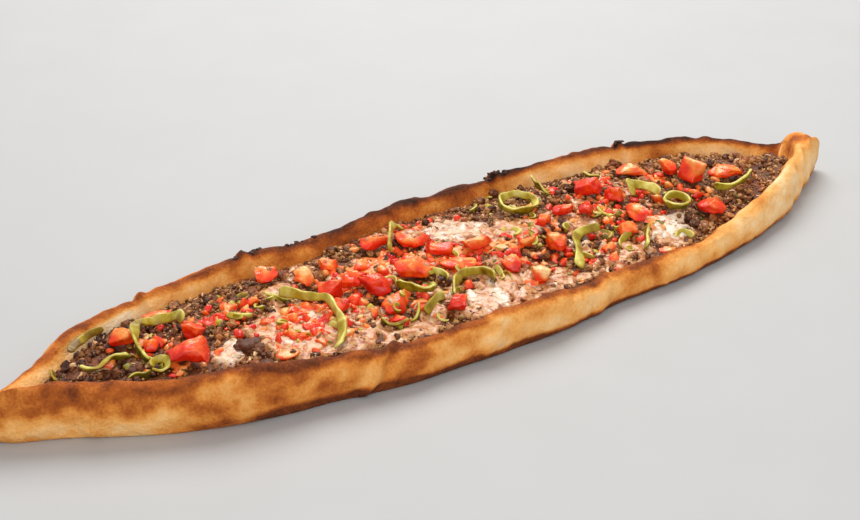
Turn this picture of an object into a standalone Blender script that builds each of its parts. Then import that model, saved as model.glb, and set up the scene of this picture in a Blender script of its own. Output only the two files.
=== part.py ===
"""A Turkish pide: a long boat of baked dough with its sides folded in, over minced meat.

The dough lies along X with its pinched ends at -X and +X, flat on z = 0. The near side is
at -Y and the far side at +Y. On the bed of minced meat lie patches of melted cheese, cut
tomato and sliced green pepper. Every topping is settled onto what already lies under it.
"""

import math
import random

import bmesh
import bpy
from mathutils import Vector, noise
from mathutils.bvhtree import BVHTree

MM = 0.001

# The dough's outline. Each row is a place along the length, then the side's widest line and
# the height of its folded crest, for the near and the far side, all in millimetres.
OUTLINE = (
    # x, near y, near height, far y, far height
    (-275, -7, 24, -1, 21),
    (-258, -15, 27, 6, 22),
    (-240, -24, 29, 21, 23),
    (-220, -35, 29, 37, 24),
    (-190, -49, 29, 50, 24),
    (-150, -60, 30, 58, 23),
    (-105, -67, 25, 62, 24),
    (-70, -71, 23, 64, 21),
    (-20, -72, 23, 69, 26),
    (25, -70, 22, 72, 24),
    (65, -64, 18, 72, 24),
    (105, -61, 17, 70, 26),
    (145, -55, 18, 66, 26),
    (180, -46, 22, 59, 25),
    (210, -36, 26, 47, 25),
    (235, -22, 27, 26, 26),
    (256, -8, 28, 14, 27),
    (275, 3, 25, 9, 24),
)
HALF_LENGTH = 275 * MM
CAP_LENGTH = 17 * MM  # the stretch at each end over which the tip rounds off
NOSE_HEIGHT = 11 * MM

BASE_THICKNESS = 5 * MM
CREST_INSET = 8 * MM  # from the widest line in to the crest
UNDERCUT = 5 * MM  # from the widest line in to where the dough leaves the table
WIDEST_LEVEL = 0.36  # height of the widest line, as a share of the crest's
ROLL_FLAT, ROLL_PER_HEIGHT = 12 * MM, 0.4  # the folded side's width: flat share plus share of height
NEAR_LAP = 0.22  # at the tips, how far the near side laps over the far one

BODY_STATIONS, CAP_STATIONS = 42, 4
OUTER_LOW = (-90, -60, -30)
OUTER_HIGH = (0, 22.5, 45, 67.5, 90)
INNER_STEPS = (0.2, 0.38, 0.58, 0.78, 1.0)
FILLING_STEP = 1  # the step of the inner slope that the meat reaches up to

MEAT_START, MEAT_END = -242 * MM, 236 * MM
MEAT_EDGE = 1.2 * MM
MEAT_CROWN = 3.0 * MM
MEAT_BUMP, MEAT_BUMP_SPACING = 1.0 * MM, 42 * MM
MEAT_ACROSS = 10
GAP = 0.5 * MM

CHEESE_THICKNESS = 2.2 * MM
CHEESE_SEGMENTS = 16
# x, y, length, width in millimetres, and the turn about z in degrees
CHEESES = (
    (-154, -28, 19, 14, 40),
    (-114, -24, 50, 44, -30),
    (-103, 15, 22, 17, -30),
    (10, 24, 36, 27, -10),
    (-14, -46, 32, 20, 50),
    (38, 10, 34, 20, -30),
    (79, -5, 21, 14, -30),
    (123, -30, 28, 22, 60),
)

TOMATO_SQUARENESS = 4.5  # 2 is a ball, and more is boxier
# x, y, length, width, height in millimetres, and the turn about z in degrees
TOMATOES = (
    (-196, 9, 12, 11, 9, -31),
    (-172, 19, 17, 7, 5, -31),
    (-164, -4, 12, 10, 8, -50),
    (-171, -25, 24, 12, 10, -31),
    (-107, 31, 14, 9, 6, -40),
    (-90, 16, 12, 10, 9, 40),
    (-84, -3, 14, 11, 10, -30),
    (-86, -17, 10, 9, 6, 10),
    (-69, 2, 10, 10, 9, 60),
    (-61, -10, 15, 12, 9, -60),
    (-71, 26, 12, 8, 6, -30),
    (-38, 31, 16, 9, 7, -20),
    (-61, -31, 13, 9, 7, -20),
    (-36, -7, 19, 12, 10, -31),
    (-19, 21, 17, 12, 9, -31),
    (-11, 4, 20, 7, 5, -32),
    (8, -1, 19, 7, 6, -15),
    (-10, -14, 22, 7, 5, -29),
    (-33, -47, 11, 8, 7, -25),
    (38, -10, 13, 10, 8, -20),
    (14, -28, 11, 10, 7, 60),
    (48, -20, 12, 13, 9, 30),
    (75, 9, 12, 8, 6, -31),
    (86, 2, 9, 8, 8, -31),
    (103, 22, 16, 12, 9, -31),
    (112, 8, 12, 9, 8, -60),
    (111, -14, 19, 9, 7, 84),
    (95, -25, 13, 8, 7, -25),
    (140, 28, 20, 8, 5, -28),
    (160, 18, 10, 11, 9, 20),
    (167, 3, 14, 18, 13, 10),
    (187, -4, 20, 8, 6, -28),
    (155, -29, 16, 11, 8, -35),
    (23, -43, 15, 11, 7, -10),
)

PEPPER_WALL, PEPPER_HEIGHT = 2.4 * MM, 4.0 * MM
PEPPER_SEGMENT = 4.2 * MM
PEPPER_REACH = 2.8 * MM
PEPPER_SAG = 0.5 * MM  # how far a slice hangs between the ends of two segments
# x and y of the start, length in millimetres, then the heading there and how far the slice
# bends over its first and its second half, in degrees
PEPPERS = (
    (-191, -17, 58, 114, -73, -150),
    (-222, -6, 27, -64, 107, -95),
    (-221, 14, 25, 54, -29, -20),
    (-109, 8, 70, -34, -55, -52),
    (-51, -45, 13, 40, -30, -40),
    (-50, -14, 22, -62, 2, 60),
    (-30, -40, 46, 73, -55, -144),
    (47, 26, 66, 110, -180, -180),
    (82, 51, 22, -109, 10, 10),
    (81, -18, 50, 147, 99, -18),
    (119, -1, 36, 105, -110, -110),
    (107, -28, 22, -123, -6, -6),
    (133, -15, 42, 90, -180, -180),
    (170, -13, 30, -46, 48, 34),
    (-37, 16, 28, 66, -18, -22),
)

# each look is a colour and a roughness
CRUST_LOOK = ((0.66, 0.36, 0.13), 0.6)
MEAT_LOOK = ((0.16, 0.07, 0.04), 0.5)
CHEESE_LOOK = ((0.85, 0.68, 0.47), 0.35)
TOMATO_LOOK = ((0.55, 0.05, 0.02), 0.3)
PEPPER_LOOK = ((0.42, 0.36, 0.06), 0.4)


def smooth_curve(column):
    """A function through one column of the outline, with a cubic between each two rows."""
    places = [row[0] * MM for row in OUTLINE]
    values = [row[column] * MM for row in OUTLINE]
    last = len(places) - 1

    def slope(i):
        before, after = max(i - 1, 0), min(i + 1, last)
        return (values[after] - values[before]) / (places[after] - places[before])

    def value(x):
        i = 0
        while i < last - 1 and x > places[i + 1]:
            i += 1
        span = places[i + 1] - places[i]
        t = min(max((x - places[i]) / span, 0.0), 1.0)
        t2, t3 = t * t, t * t * t
        return (
            (2 * t3 - 3 * t2 + 1) * values[i]
            + (t3 - 2 * t2 + t) * span * slope(i)
            + (3 * t2 - 2 * t3) * values[i + 1]
            + (t3 - t2) * span * slope(i + 1)
        )

    return value


near_edge, near_height = smooth_curve(1), smooth_curve(2)
far_edge, far_height = smooth_curve(3), smooth_curve(4)


def smoothstep(t):
    t = min(max(t, 0.0), 1.0)
    return t * t * (3 - 2 * t)


def lean(edge, x):
    """How much longer a width across the dough is than the same width square to its edge."""
    step = 2 * MM
    return math.hypot(1, (edge(x + step) - edge(x - step)) / (2 * step))


def rim(height, floor, spread):
    """One folded side from the table over its crest to the floor, as (inset, z) pairs."""
    widest = WIDEST_LEVEL * height
    width = ROLL_FLAT + ROLL_PER_HEIGHT * height
    points = []
    for degrees in OUTER_LOW:
        turn = math.radians(degrees)
        points.append((UNDERCUT * (1 - math.cos(turn)), widest * (1 + math.sin(turn))))
    for degrees in OUTER_HIGH:
        turn = math.radians(degrees)
        rise = (height - widest) * math.sin(turn)
        points.append((CREST_INSET * (1 - math.cos(turn)), widest + rise))
    for step in INNER_STEPS:
        fall = 0.5 + 0.5 * math.cos(math.pi * step)
        inset = CREST_INSET + (width - CREST_INSET) * step
        points.append((inset, floor + (height - floor) * fall))
    return [(inset * spread, z) for inset, z in points]


def dough_section(x):
    """The dough's top from the near foot to the far foot at x, as (y, z) pairs."""
    near_y, far_y = near_edge(x), far_edge(x)
    near_z, far_z = near_height(x), far_height(x)
    near_lean, far_lean = lean(near_edge, x), lean(far_edge, x)
    near_width = (ROLL_FLAT + ROLL_PER_HEIGHT * near_z) * near_lean
    far_width = (ROLL_FLAT + ROLL_PER_HEIGHT * far_z) * far_lean
    room = (far_y - near_y) / (near_width + far_width)
    squeeze = min(1.0, 0.92 * room)
    closing = smoothstep((1.12 - room) / 0.7)
    floor = BASE_THICKNESS + (0.9 * min(near_z, far_z) - BASE_THICKNESS) * closing
    lap = NEAR_LAP * closing
    near = rim(near_z, floor, squeeze * near_lean * (1 + lap))
    far = rim(far_z, floor, squeeze * far_lean * (1 - lap))
    left = [(near_y + inset, z) for inset, z in near]
    right = [(far_y - inset, z) for inset, z in reversed(far)]
    middle = ((left[-1][0] + right[0][0]) / 2, floor)
    return [*left, middle, *right]


def stations():
    """Places along X for the dough's sections, with how far the tip has rounded off there."""
    straight = HALF_LENGTH - CAP_LENGTH
    caps = [math.radians(90 * i / CAP_STATIONS) for i in range(CAP_STATIONS)]
    left = [(-straight - CAP_LENGTH * math.sin(a), math.cos(a)) for a in reversed(caps)]
    right = [(straight + CAP_LENGTH * math.sin(a), math.cos(a)) for a in caps]
    gaps = BODY_STATIONS + 1
    body = [(straight * (2 * i / gaps - 1), 1.0) for i in range(1, gaps)]
    return [*left, *body, *right]


def new_material(name, colour, roughness):
    material = bpy.data.materials.new(name)
    material.use_nodes = True
    shader = material.node_tree.nodes["Principled BSDF"]
    shader.inputs["Base Color"].default_value = (*colour, 1)
    shader.inputs["Roughness"].default_value = roughness
    shader.inputs["Metallic"].default_value = 0
    return material


def new_object(name, bm, look, place=(0, 0, 0)):
    """An object in the pide's collection from a bmesh in world coordinates, with its origin at place."""
    bmesh.ops.recalc_face_normals(bm, faces=bm.faces)
    bmesh.ops.translate(bm, vec=-Vector(place), verts=bm.verts)
    mesh = bpy.data.meshes.new(name)
    bm.to_mesh(mesh)
    bm.free()
    mesh.shade_smooth()
    mesh.materials.append(new_material(name, *look))
    obj = bpy.data.objects.new(name, mesh)
    obj.location = place
    collection.objects.link(obj)
    return obj


def loft(bm, rings):
    """Joins closed rings of the same number of points with faces, and returns the vertices."""
    made = [[bm.verts.new(point) for point in ring] for ring in rings]
    for first, second in zip(made, made[1:]):
        count = len(first)
        for i in range(count):
            j = (i + 1) % count
            bm.faces.new((first[i], first[j], second[j], second[i]))
    return made


def fan(bm, ring, tip):
    point = bm.verts.new(tip)
    for i, vertex in enumerate(ring):
        bm.faces.new((vertex, ring[(i + 1) % len(ring)], point))


def dough():
    """The base and both folded sides, in one piece, lofted from tip to tip."""
    rings = []
    for x, share in stations():
        section = dough_section(x)
        near_foot, far_foot = section[0][0], section[-1][0]
        third = (far_foot - near_foot) / 3
        section += [(far_foot - third, 0.0), (near_foot + third, 0.0)]
        centre = (near_edge(x) + far_edge(x)) / 2
        rings.append(
            [
                (x, centre + (y - centre) * share, NOSE_HEIGHT + (z - NOSE_HEIGHT) * share)
                for y, z in section
            ]
        )
    bm = bmesh.new()
    made = loft(bm, rings)
    for ring, x in ((made[0], -HALF_LENGTH), (made[-1], HALF_LENGTH)):
        fan(bm, ring, (x, (near_edge(x) + far_edge(x)) / 2, NOSE_HEIGHT))
    return new_object("dough", bm, CRUST_LOOK)


def bumps(x, y, spacing, seed):
    """Smooth unevenness from -1 to 1, with humps about spacing apart."""
    return noise.noise(Vector((x / spacing, y / spacing, seed)))


def meat_section(x):
    """A closed ring of the minced meat at x: along the dough's inner side, then over the heap."""
    section = dough_section(x)
    skipped = len(OUTER_LOW) + len(OUTER_HIGH) + FILLING_STEP
    inner = section[skipped:-skipped]
    under = [(x, y, z + GAP) for y, z in inner]
    (near_y, near_z), (far_y, far_z) = inner[0], inner[-1]
    ends = smoothstep(min(x - MEAT_START, MEAT_END - x) / (40 * MM))
    over = []
    for i in range(MEAT_ACROSS + 1):
        t = i / MEAT_ACROSS
        y = far_y + (near_y - far_y) * t
        crown = math.sin(math.pi * t) ** 0.6 * ends
        hump = MEAT_BUMP * bumps(x, y, MEAT_BUMP_SPACING, 3.7) * crown
        level = far_z + (near_z - far_z) * t + GAP + MEAT_EDGE
        over.append((x, y, level + MEAT_CROWN * crown + hump))
    return under + over


def minced_meat():
    """The bed of minced meat, one heap from the dough's floor up to its uneven top."""
    places = [x for x, _ in stations() if MEAT_START < x < MEAT_END]
    bm = bmesh.new()
    made = loft(bm, [meat_section(x) for x in places])
    bm.faces.new(made[0])
    bm.faces.new(made[-1])
    bmesh.ops.triangulate(bm, faces=[f for f in bm.faces if len(f.verts) > 4])
    return new_object("minced_meat", bm, MEAT_LOOK)


def placed(x, y, turn, along, across):
    """A point of a piece that lies at x, y in millimetres and is turned by turn degrees."""
    cosine, sine = math.cos(math.radians(turn)), math.sin(math.radians(turn))
    return x * MM + along * cosine - across * sine, y * MM + along * sine + across * cosine


class Bed:
    """What lies in the dough so far. It tells how high a topping has to lie at a place."""

    def __init__(self):
        self.trees = []

    def add(self, obj):
        points = [v.co + obj.location for v in obj.data.vertices]
        faces = [tuple(p.vertices) for p in obj.data.polygons]
        self.trees.append(BVHTree.FromPolygons(points, faces))

    def level(self, x, y):
        above = Vector((x, y, 0.2))
        hits = [tree.ray_cast(above, Vector((0, 0, -1)))[0] for tree in self.trees]
        return max((hit.z for hit in hits if hit), default=BASE_THICKNESS)

    def rest(self, x, y, reach=2.2 * MM):
        """The level to lie at, clear of everything within reach."""
        around = [(x, y)]
        for i in range(8):
            turn = math.pi * i / 4
            around.append((x + reach * math.cos(turn), y + reach * math.sin(turn)))
        return max(self.level(*place) for place in around) + GAP


def cheese(bed, number, x, y, length, width, turn):
    """A melted patch: a thin sheet with an uneven lobed edge that follows the bed."""
    rings = (0.0, 0.65, 1.0)
    bm = bmesh.new()
    layers = {}
    for upper in (False, True):
        for share in rings:
            ring = []
            for i in range(CHEESE_SEGMENTS if share else 1):
                around = 2 * math.pi * i / CHEESE_SEGMENTS
                lobes = 1 + 0.32 * bumps(math.cos(around), math.sin(around), 1.1, 9.0 + number)
                along = 0.5 * length * MM * share * lobes * math.cos(around)
                across = 0.5 * width * MM * share * lobes * math.sin(around)
                px, py = placed(x, y, turn, along, across)
                thick = CHEESE_THICKNESS * (1 - 0.7 * share**4) if upper else 0.0
                ring.append(bm.verts.new((px, py, bed.rest(px, py, 1.0 * MM) + thick)))
            layers[upper, share] = ring
    for upper in (False, True):
        centre, first = layers[upper, 0.0][0], layers[upper, rings[1]]
        for i in range(CHEESE_SEGMENTS):
            j = (i + 1) % CHEESE_SEGMENTS
            bm.faces.new((centre, first[i], first[j]))
            for inner, outer in zip(rings[1:], rings[2:]):
                a, b = layers[upper, inner], layers[upper, outer]
                bm.faces.new((a[i], b[i], b[j], a[j]))
    for i in range(CHEESE_SEGMENTS):
        j = (i + 1) % CHEESE_SEGMENTS
        low, high = layers[False, 1.0], layers[True, 1.0]
        bm.faces.new((low[i], high[i], high[j], low[j]))
    centre = (x * MM, y * MM, layers[False, 0.0][0].co.z)
    bed.add(new_object(f"cheese_{number:02d}", bm, CHEESE_LOOK, centre))


def tomato(bed, number, x, y, length, width, height, turn):
    """A cut piece of tomato: a rounded, slightly lopsided block that settles onto the bed."""
    bm = bmesh.new()
    bmesh.ops.create_cube(bm, size=2)
    bmesh.ops.subdivide_edges(bm, edges=bm.edges, cuts=2, use_grid_fill=True)
    half = Vector((length, width, height)) * 0.5 * MM
    taper = random.uniform(-0.22, 0.22)
    for vertex in bm.verts:
        p = vertex.co
        p /= sum(abs(a) ** TOMATO_SQUARENESS for a in p) ** (1 / TOMATO_SQUARENESS)
        p *= 1 + 0.10 * noise.noise(p * 1.3 + Vector((number * 3.1, 0, 0)))
        p = Vector((p.x, p.y * (1 + taper * p.x), p.z * (1 - 0.5 * taper * p.x)))
        p = Vector(a * b for a, b in zip(p, half))
        vertex.co = (*placed(x, y, turn, p.x, p.y), p.z + half.z)
    base = settle(bed, bm)
    bed.add(new_object(f"tomato_{number:02d}", bm, TOMATO_LOOK, (x * MM, y * MM, base)))


def settle(bed, bm):
    """Sets a piece on the bed, shapes its underside to what it lies on, and returns its level."""
    rests = [bed.rest(v.co.x, v.co.y) for v in bm.verts]
    base = sum(rests) / len(rests)
    for vertex, rest in zip(bm.verts, rests):
        vertex.co.z = max(vertex.co.z + base, rest + 0.4 * vertex.co.z)
    return base


def pepper_line(x, y, length, heading, first_bend, second_bend):
    """Points along the middle of a slice, each with the direction square to it."""
    count = round(length * MM / PEPPER_SEGMENT)
    step = length * MM / count
    here, turn = Vector((x * MM, y * MM)), math.radians(heading)
    line = [(here.copy(), Vector((-math.sin(turn), math.cos(turn))))]
    for i in range(count):
        bend = math.radians(first_bend if i < count / 2 else second_bend) / (count / 2)
        here = here + step * Vector((math.cos(turn + bend / 2), math.sin(turn + bend / 2)))
        turn += bend
        line.append((here.copy(), Vector((-math.sin(turn), math.cos(turn)))))
    return line


def drape(levels, closed):
    """Lifts the low points of a slice until it hangs between its high ones."""
    last = len(levels) - 1
    for _ in range(40):
        for i in range(0 if closed else 1, last + 1 if closed else last):
            hung = (levels[i - 1] + levels[(i + 1) % len(levels)]) / 2 - PEPPER_SAG
            levels[i] = max(levels[i], hung)


def pepper(bed, number, x, y, length, heading, first_bend, second_bend):
    """A slice of green pepper: a ring or an arc of its wall, lying over what is under it."""
    line = pepper_line(x, y, length, heading, first_bend, second_bend)
    closed = abs(first_bend + second_bend) >= 360
    if closed:
        line.pop()
    sides = [(at - out * PEPPER_WALL / 2, at + out * PEPPER_WALL / 2) for at, out in line]
    levels = [max(bed.rest(*place, PEPPER_REACH) for place in pair) for pair in sides]
    drape(levels, closed)
    rings = []
    for (left, right), foot in zip(sides, levels):
        top = foot + PEPPER_HEIGHT
        rings.append([(*left, foot), (*right, foot), (*right, top), (*left, top)])
    bm = bmesh.new()
    made = loft(bm, [*rings, rings[0]] if closed else rings)
    if closed:
        bmesh.ops.remove_doubles(bm, verts=bm.verts, dist=MM / 1000)
    else:
        bm.faces.new(made[0])
        bm.faces.new(made[-1])
    start = (x * MM, y * MM, levels[0])
    bed.add(new_object(f"pepper_{number:02d}", bm, PEPPER_LOOK, start))


for old in list(bpy.data.objects):
    bpy.data.objects.remove(old)
collection = bpy.data.collections.new("turkish_pide")
bpy.context.scene.collection.children.link(collection)

random.seed(7)
pile = Bed()
pile.add(dough())
pile.add(minced_meat())
for maker, places in ((cheese, CHEESES), (tomato, TOMATOES), (pepper, PEPPERS)):
    for count, place in enumerate(places, 1):
        maker(pile, count, *place)
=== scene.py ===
"""The looks of a Turkish pide: baked dough folded in round minced meat, with melted cheese,
cut tomato and sliced green pepper on top.

The dough is built from the same outline and section as its solid, only finer and uneven. The
toppings stand where their solids stand. Crumbs, bits and stains fill the space between them.
"""

import math
import random

import bmesh
import bpy
import numpy as np
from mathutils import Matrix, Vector, noise
from mathutils.bvhtree import BVHTree


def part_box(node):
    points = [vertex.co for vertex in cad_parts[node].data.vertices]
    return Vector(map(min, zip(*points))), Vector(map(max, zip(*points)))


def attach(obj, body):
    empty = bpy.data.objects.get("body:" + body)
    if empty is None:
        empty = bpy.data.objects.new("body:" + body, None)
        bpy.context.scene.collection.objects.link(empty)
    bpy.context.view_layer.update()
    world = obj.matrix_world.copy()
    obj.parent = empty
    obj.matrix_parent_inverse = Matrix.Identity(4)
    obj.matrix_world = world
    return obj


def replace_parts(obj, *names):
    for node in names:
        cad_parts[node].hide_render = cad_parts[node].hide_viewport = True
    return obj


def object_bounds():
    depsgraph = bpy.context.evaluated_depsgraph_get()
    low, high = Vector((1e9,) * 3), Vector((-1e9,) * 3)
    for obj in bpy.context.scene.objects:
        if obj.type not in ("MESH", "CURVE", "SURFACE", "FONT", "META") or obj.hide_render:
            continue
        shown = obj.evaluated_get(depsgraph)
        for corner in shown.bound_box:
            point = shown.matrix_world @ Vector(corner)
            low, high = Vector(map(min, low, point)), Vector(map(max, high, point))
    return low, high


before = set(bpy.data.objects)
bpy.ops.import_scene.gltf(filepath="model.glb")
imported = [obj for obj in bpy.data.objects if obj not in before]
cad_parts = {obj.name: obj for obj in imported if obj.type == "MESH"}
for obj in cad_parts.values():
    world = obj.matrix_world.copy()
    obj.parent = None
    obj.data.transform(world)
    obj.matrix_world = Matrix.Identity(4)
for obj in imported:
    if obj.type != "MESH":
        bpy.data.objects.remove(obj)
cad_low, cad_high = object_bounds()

MM = 0.001
rng = np.random.default_rng(11)
random.seed(11)

# ---------------------------------------------------------------- the dough's outline and section

# Each row is a place along the length, then the widest line and the crest's height of the near
# and of the far side, in millimetres, as in the solid.
OUTLINE = (
    (-275, -7, 24, -1, 21),
    (-258, -15, 27, 6, 22),
    (-240, -24, 29, 21, 23),
    (-220, -35, 29, 37, 24),
    (-190, -49, 29, 50, 24),
    (-150, -60, 30, 58, 23),
    (-105, -67, 25, 62, 24),
    (-70, -71, 23, 64, 21),
    (-20, -72, 23, 69, 26),
    (25, -70, 22, 72, 24),
    (65, -64, 18, 72, 24),
    (105, -61, 17, 70, 26),
    (145, -55, 18, 66, 26),
    (180, -46, 22, 59, 25),
    (210, -36, 26, 47, 25),
    (235, -22, 27, 26, 26),
    (256, -8, 28, 14, 27),
    (275, 3, 25, 9, 24),
)
HALF_LENGTH, CAP_LENGTH, NOSE_HEIGHT = 275 * MM, 17 * MM, 11 * MM
BASE_THICKNESS, CREST_INSET, UNDERCUT, WIDEST_LEVEL = 5 * MM, 8 * MM, 5 * MM, 0.36
ROLL_FLAT, ROLL_PER_HEIGHT, NEAR_LAP = 12 * MM, 0.4, 0.22
STATIONS, CAP_STATIONS = 600, 14
OUTER_LOW = np.linspace(-90, 0, 13)[:-1]
OUTER_HIGH = np.linspace(0, 90, 19)
INNER_STEPS = np.linspace(0, 1, 21)[1:]
NEAR, FAR = -1, 1

# Where the far crest steps up because a fold of the dough starts: x and rise in millimetres.
FAR_STEPS = ((-172, 2.2), (-110, 2.6), (62, 2.2), (92, 1.0), (150, 1.8))
# Creases across a side: which side, x at the foot and at the floor's edge, depth and width in mm
CREASES = (
    (NEAR, -104, -70, 2.0, 3.0),
    (NEAR, -232, -205, 0.7, 5.0),
    (NEAR, -36, -8, 0.9, 4.0),
    (NEAR, 44, 62, 0.9, 4.0),
    (NEAR, 150, 172, 0.6, 4.0),
    (NEAR, 226, 250, 1.2, 3.5),
    (NEAR, 244, 262, 0.9, 3.0),
    (FAR, -174, -168, 1.3, 2.4),
    (FAR, -112, -104, 1.2, 2.2),
    (FAR, -30, -20, 0.8, 3.0),
    (FAR, 60, 66, 1.0, 2.2),
    (FAR, 122, 118, 0.9, 2.2),
    (FAR, 150, 153, 1.3, 2.0),
    (FAR, 214, 205, 0.8, 3.0),
)
# Browned spots, and two spots of painted shade: side, x in mm, place from the foot (0) over the crest (1)
# to the floor (2), their length in mm, their width as a share of a side, and how much darker they are
SCORCHES_AND_SHADE = (
    (NEAR, -237, 0.95, 26, 0.20, 0.03),
    (NEAR, -206, 0.80, 12, 0.16, 0.08),
    (NEAR, -179, 0.42, 9, 0.14, 0.15),
    (NEAR, -147, 0.45, 13, 0.16, 0.18),
    (NEAR, -160, 1.02, 16, 0.12, 0.10),
    (NEAR, -132, 0.94, 14, 0.14, 0.14),
    (NEAR, -117, 1.00, 10, 0.10, 0.12),
    (NEAR, -115, 0.40, 8, 0.12, 0.16),
    (NEAR, -74, 0.62, 7, 0.18, 0.08),
    # painted shadow: the foot below the fold that lifts off the board at x -84 is darkened as its cast shadow
    (NEAR, -84, 0.28, 11, 0.16, 0.22),
    (NEAR, -37, 0.35, 7, 0.12, 0.16),
    (NEAR, -74, 0.36, 14, 0.14, 0.14),
    (NEAR, -169, 0.66, 10, 0.16, -0.08),
    (NEAR, -159, 0.36, 8, 0.12, -0.08),
    (NEAR, -129, 0.30, 11, 0.12, -0.08),
    (NEAR, -111, 0.66, 8, 0.16, -0.10),
    (NEAR, -97, 0.50, 9, 0.18, -0.10),
    (NEAR, -47, 0.45, 8, 0.18, -0.13),
    (NEAR, -24, 0.50, 11, 0.20, -0.14),
    (NEAR, 10, 0.42, 14, 0.16, -0.12),
    (NEAR, 50, 0.55, 14, 0.16, -0.06),
    (NEAR, 78, 0.80, 10, 0.26, 0.13),
    (NEAR, 108, 1.00, 12, 0.24, 0.08),
    (NEAR, 46, 0.92, 8, 0.16, 0.12),
    (NEAR, 70, 0.60, 6, 0.16, 0.10),
    (NEAR, 88, 0.62, 5, 0.26, 0.14),
    (NEAR, 117, 0.40, 9, 0.14, 0.12),
    (NEAR, 190, 0.85, 14, 0.30, 0.10),
    (NEAR, 36, 0.45, 9, 0.14, -0.12),
    (NEAR, 101, 0.70, 7, 0.18, -0.07),
    (NEAR, 62, 0.50, 9, 0.20, -0.07),
    (NEAR, 158, 0.72, 12, 0.22, -0.06),
    # painted shade: the inner face of the near side at the right tip is darkened where it lies in shade
    (NEAR, 250, 1.55, 9, 0.30, 0.22),
    (NEAR, 214, 0.80, 22, 0.30, 0.08),
    (NEAR, 256, 1.10, 6, 0.14, 0.26),
    (NEAR, 266, 0.95, 8, 0.26, 0.10),
    (FAR, -104, 0.95, 11, 0.14, 0.26),
    (FAR, -78, 0.95, 8, 0.12, 0.22),
    (FAR, -10, 0.98, 40, 0.20, 0.08),
    (FAR, 66, 1.00, 11, 0.20, 0.34),
    (FAR, 88, 0.98, 12, 0.08, 0.26),
    (FAR, 158, 1.00, 14, 0.14, 0.30),
    (FAR, 166, 1.12, 16, 0.12, 0.22),
    (FAR, 184, 1.04, 14, 0.12, 0.12),
    (FAR, 250, 1.25, 16, 0.34, 0.12),
    (FAR, 205, 0.90, 30, 0.08, 0.14),
    (FAR, 244, 1.30, 12, 0.40, 0.22),
    (FAR, 172, 1.45, 14, 0.18, 0.16),
    (FAR, 128, 1.50, 9, 0.18, 0.12),
)

# ---------------------------------------------------------------- toppings that have no solid

# start x and y, length in millimetres, heading and the bends over both halves in degrees, and how
# much paler than the rest the slice is
PEPPERS = (
    (-191, -17, 58, 114, -73, -150, 0.0),
    (-222, -6, 27, -64, 107, -95, 0.12),
    # painted shade: this slice is much darker because it lies in the far side's shade
    (-221, 14, 25, 54, -29, -20, -0.35),
    (-109, 8, 70, -34, -55, -52, 0.06),
    (-51, -45, 13, 40, -30, -40, -0.1),
    (-50, -14, 22, -62, 2, 60, 0.2),
    (-30, -40, 46, 73, -55, -144, -0.12),
    (47, 26, 66, 110, -180, -180, 0.12),
    (82, 51, 22, -109, 10, 10, 0.1),
    (81, -18, 50, 147, 99, -18, 0.0),
    (119, -1, 36, 105, -110, -110, 0.15),
    (107, -28, 22, -123, -6, -6, 0.0),
    (133, -15, 42, 90, -180, -180, 0.2),
    (170, -13, 30, -46, 48, 34, 0.16),
    (-37, 16, 28, 66, -18, -22, 0.05),
)
SMALL_PEPPERS = (
    (-231, 12, 13, -113, 20, 10, -0.3),
    (-191, -20, 24, 90, -180, -150, -0.05),
    (-111, 18, 16, -105, 37, 35, 0.25),
    (-73, -37, 15, -78, 46, 47, 0.0),
    (-31, -16, 15, 50, -94, -77, 0.2),
    (97, 4, 12, -116, 41, 70, 0.1),
    (120, 50, 12, -82, 11, 16, 0.1),
    (120, -40, 15, 62, -83, -104, 0.0),
    (-60, -44, 12, -20, 60, 40, -0.1),
    (2, -36, 14, 30, 50, 20, 0.1),
    (62, -38, 12, 100, 40, 40, 0.0),
    (-138, 2, 10, 10, -60, 40, 0.0),
    (30, 40, 12, -20, 70, 30, 0.1),
    (-205, -22, 12, 10, -40, 60, -0.2),
    (-98, -40, 14, 40, 60, 30, 0.15),
    (84, -34, 13, 70, -50, -40, 0.1),
)
PEPPER_WALL, PEPPER_HEIGHT = 2.4 * MM, 4.0 * MM
SLICE_WALL, SLICE_HEIGHT = 1.8 * MM, 5.2 * MM

# x, y, length, width, height in millimetres and the turn in degrees
SMALL_TOMATOES = (
    (-185, -3, 10, 7, 6, 60),
    (-121, 13, 8, 7, 5, 0),
    (-54, 17, 13, 8, 5, -20),
    (-73, -27, 9, 7, 6, 20),
    (-131, -42, 15, 6, 4, -31),
    (-46, -32, 13, 5, 4, -25),
    (24, -17, 8, 7, 7, 0),
    (58, 5, 9, 8, 8, 40),
    (78, -33, 10, 8, 6, 0),
    (135, -4, 8, 7, 6, 20),
    (108, -47, 16, 5, 4, -31),
    (-108, -10, 11, 7, 5, -20),
    (-99, -22, 9, 6, 5, 10),
    (-116, -31, 7, 6, 4, 50),
    (-126, -12, 8, 6, 4, -40),
    (15, -12, 9, 9, 6, 30),
    (31, 4, 8, 6, 5, -20),
    (62, 24, 9, 7, 5, 50),
    (-107, -25, 9, 8, 4, 10),
    (-94, -38, 10, 8, 4, -20),
    (-109, -39, 8, 7, 4, 30),
    (-100, -8, 12, 7, 5, -30),
    (-121, -16, 8, 7, 4, 0),
    (-122, -38, 9, 6, 3, -35),
    (10, -30, 8, 6, 5, 20),
    (57, 5, 7, 6, 5, -20),
    (75, 0, 9, 6, 4, 10),
    (21, -44, 8, 7, 5, 40),
    (22, -14, 8, 6, 5, 0),
    (-50, -40, 9, 7, 5, -10),
    (-64, -41, 8, 7, 6, 50),
    (38, 2, 9, 6, 4, -30),
    (20, 6, 8, 6, 4, 30),
    (58, -11, 10, 7, 4, -40),
    (74, -41, 8, 7, 5, 0),
    (-48, 4, 9, 7, 5, 20),
    (-28, 10, 9, 6, 4, -50),
    (-82, 8, 8, 6, 4, 30),
    (-76, -14, 8, 7, 6, 0),
    (-50, -20, 9, 6, 4, -20),
    (120, 30, 9, 6, 5, 20),
    (128, 12, 8, 7, 5, -10),
)
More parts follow.
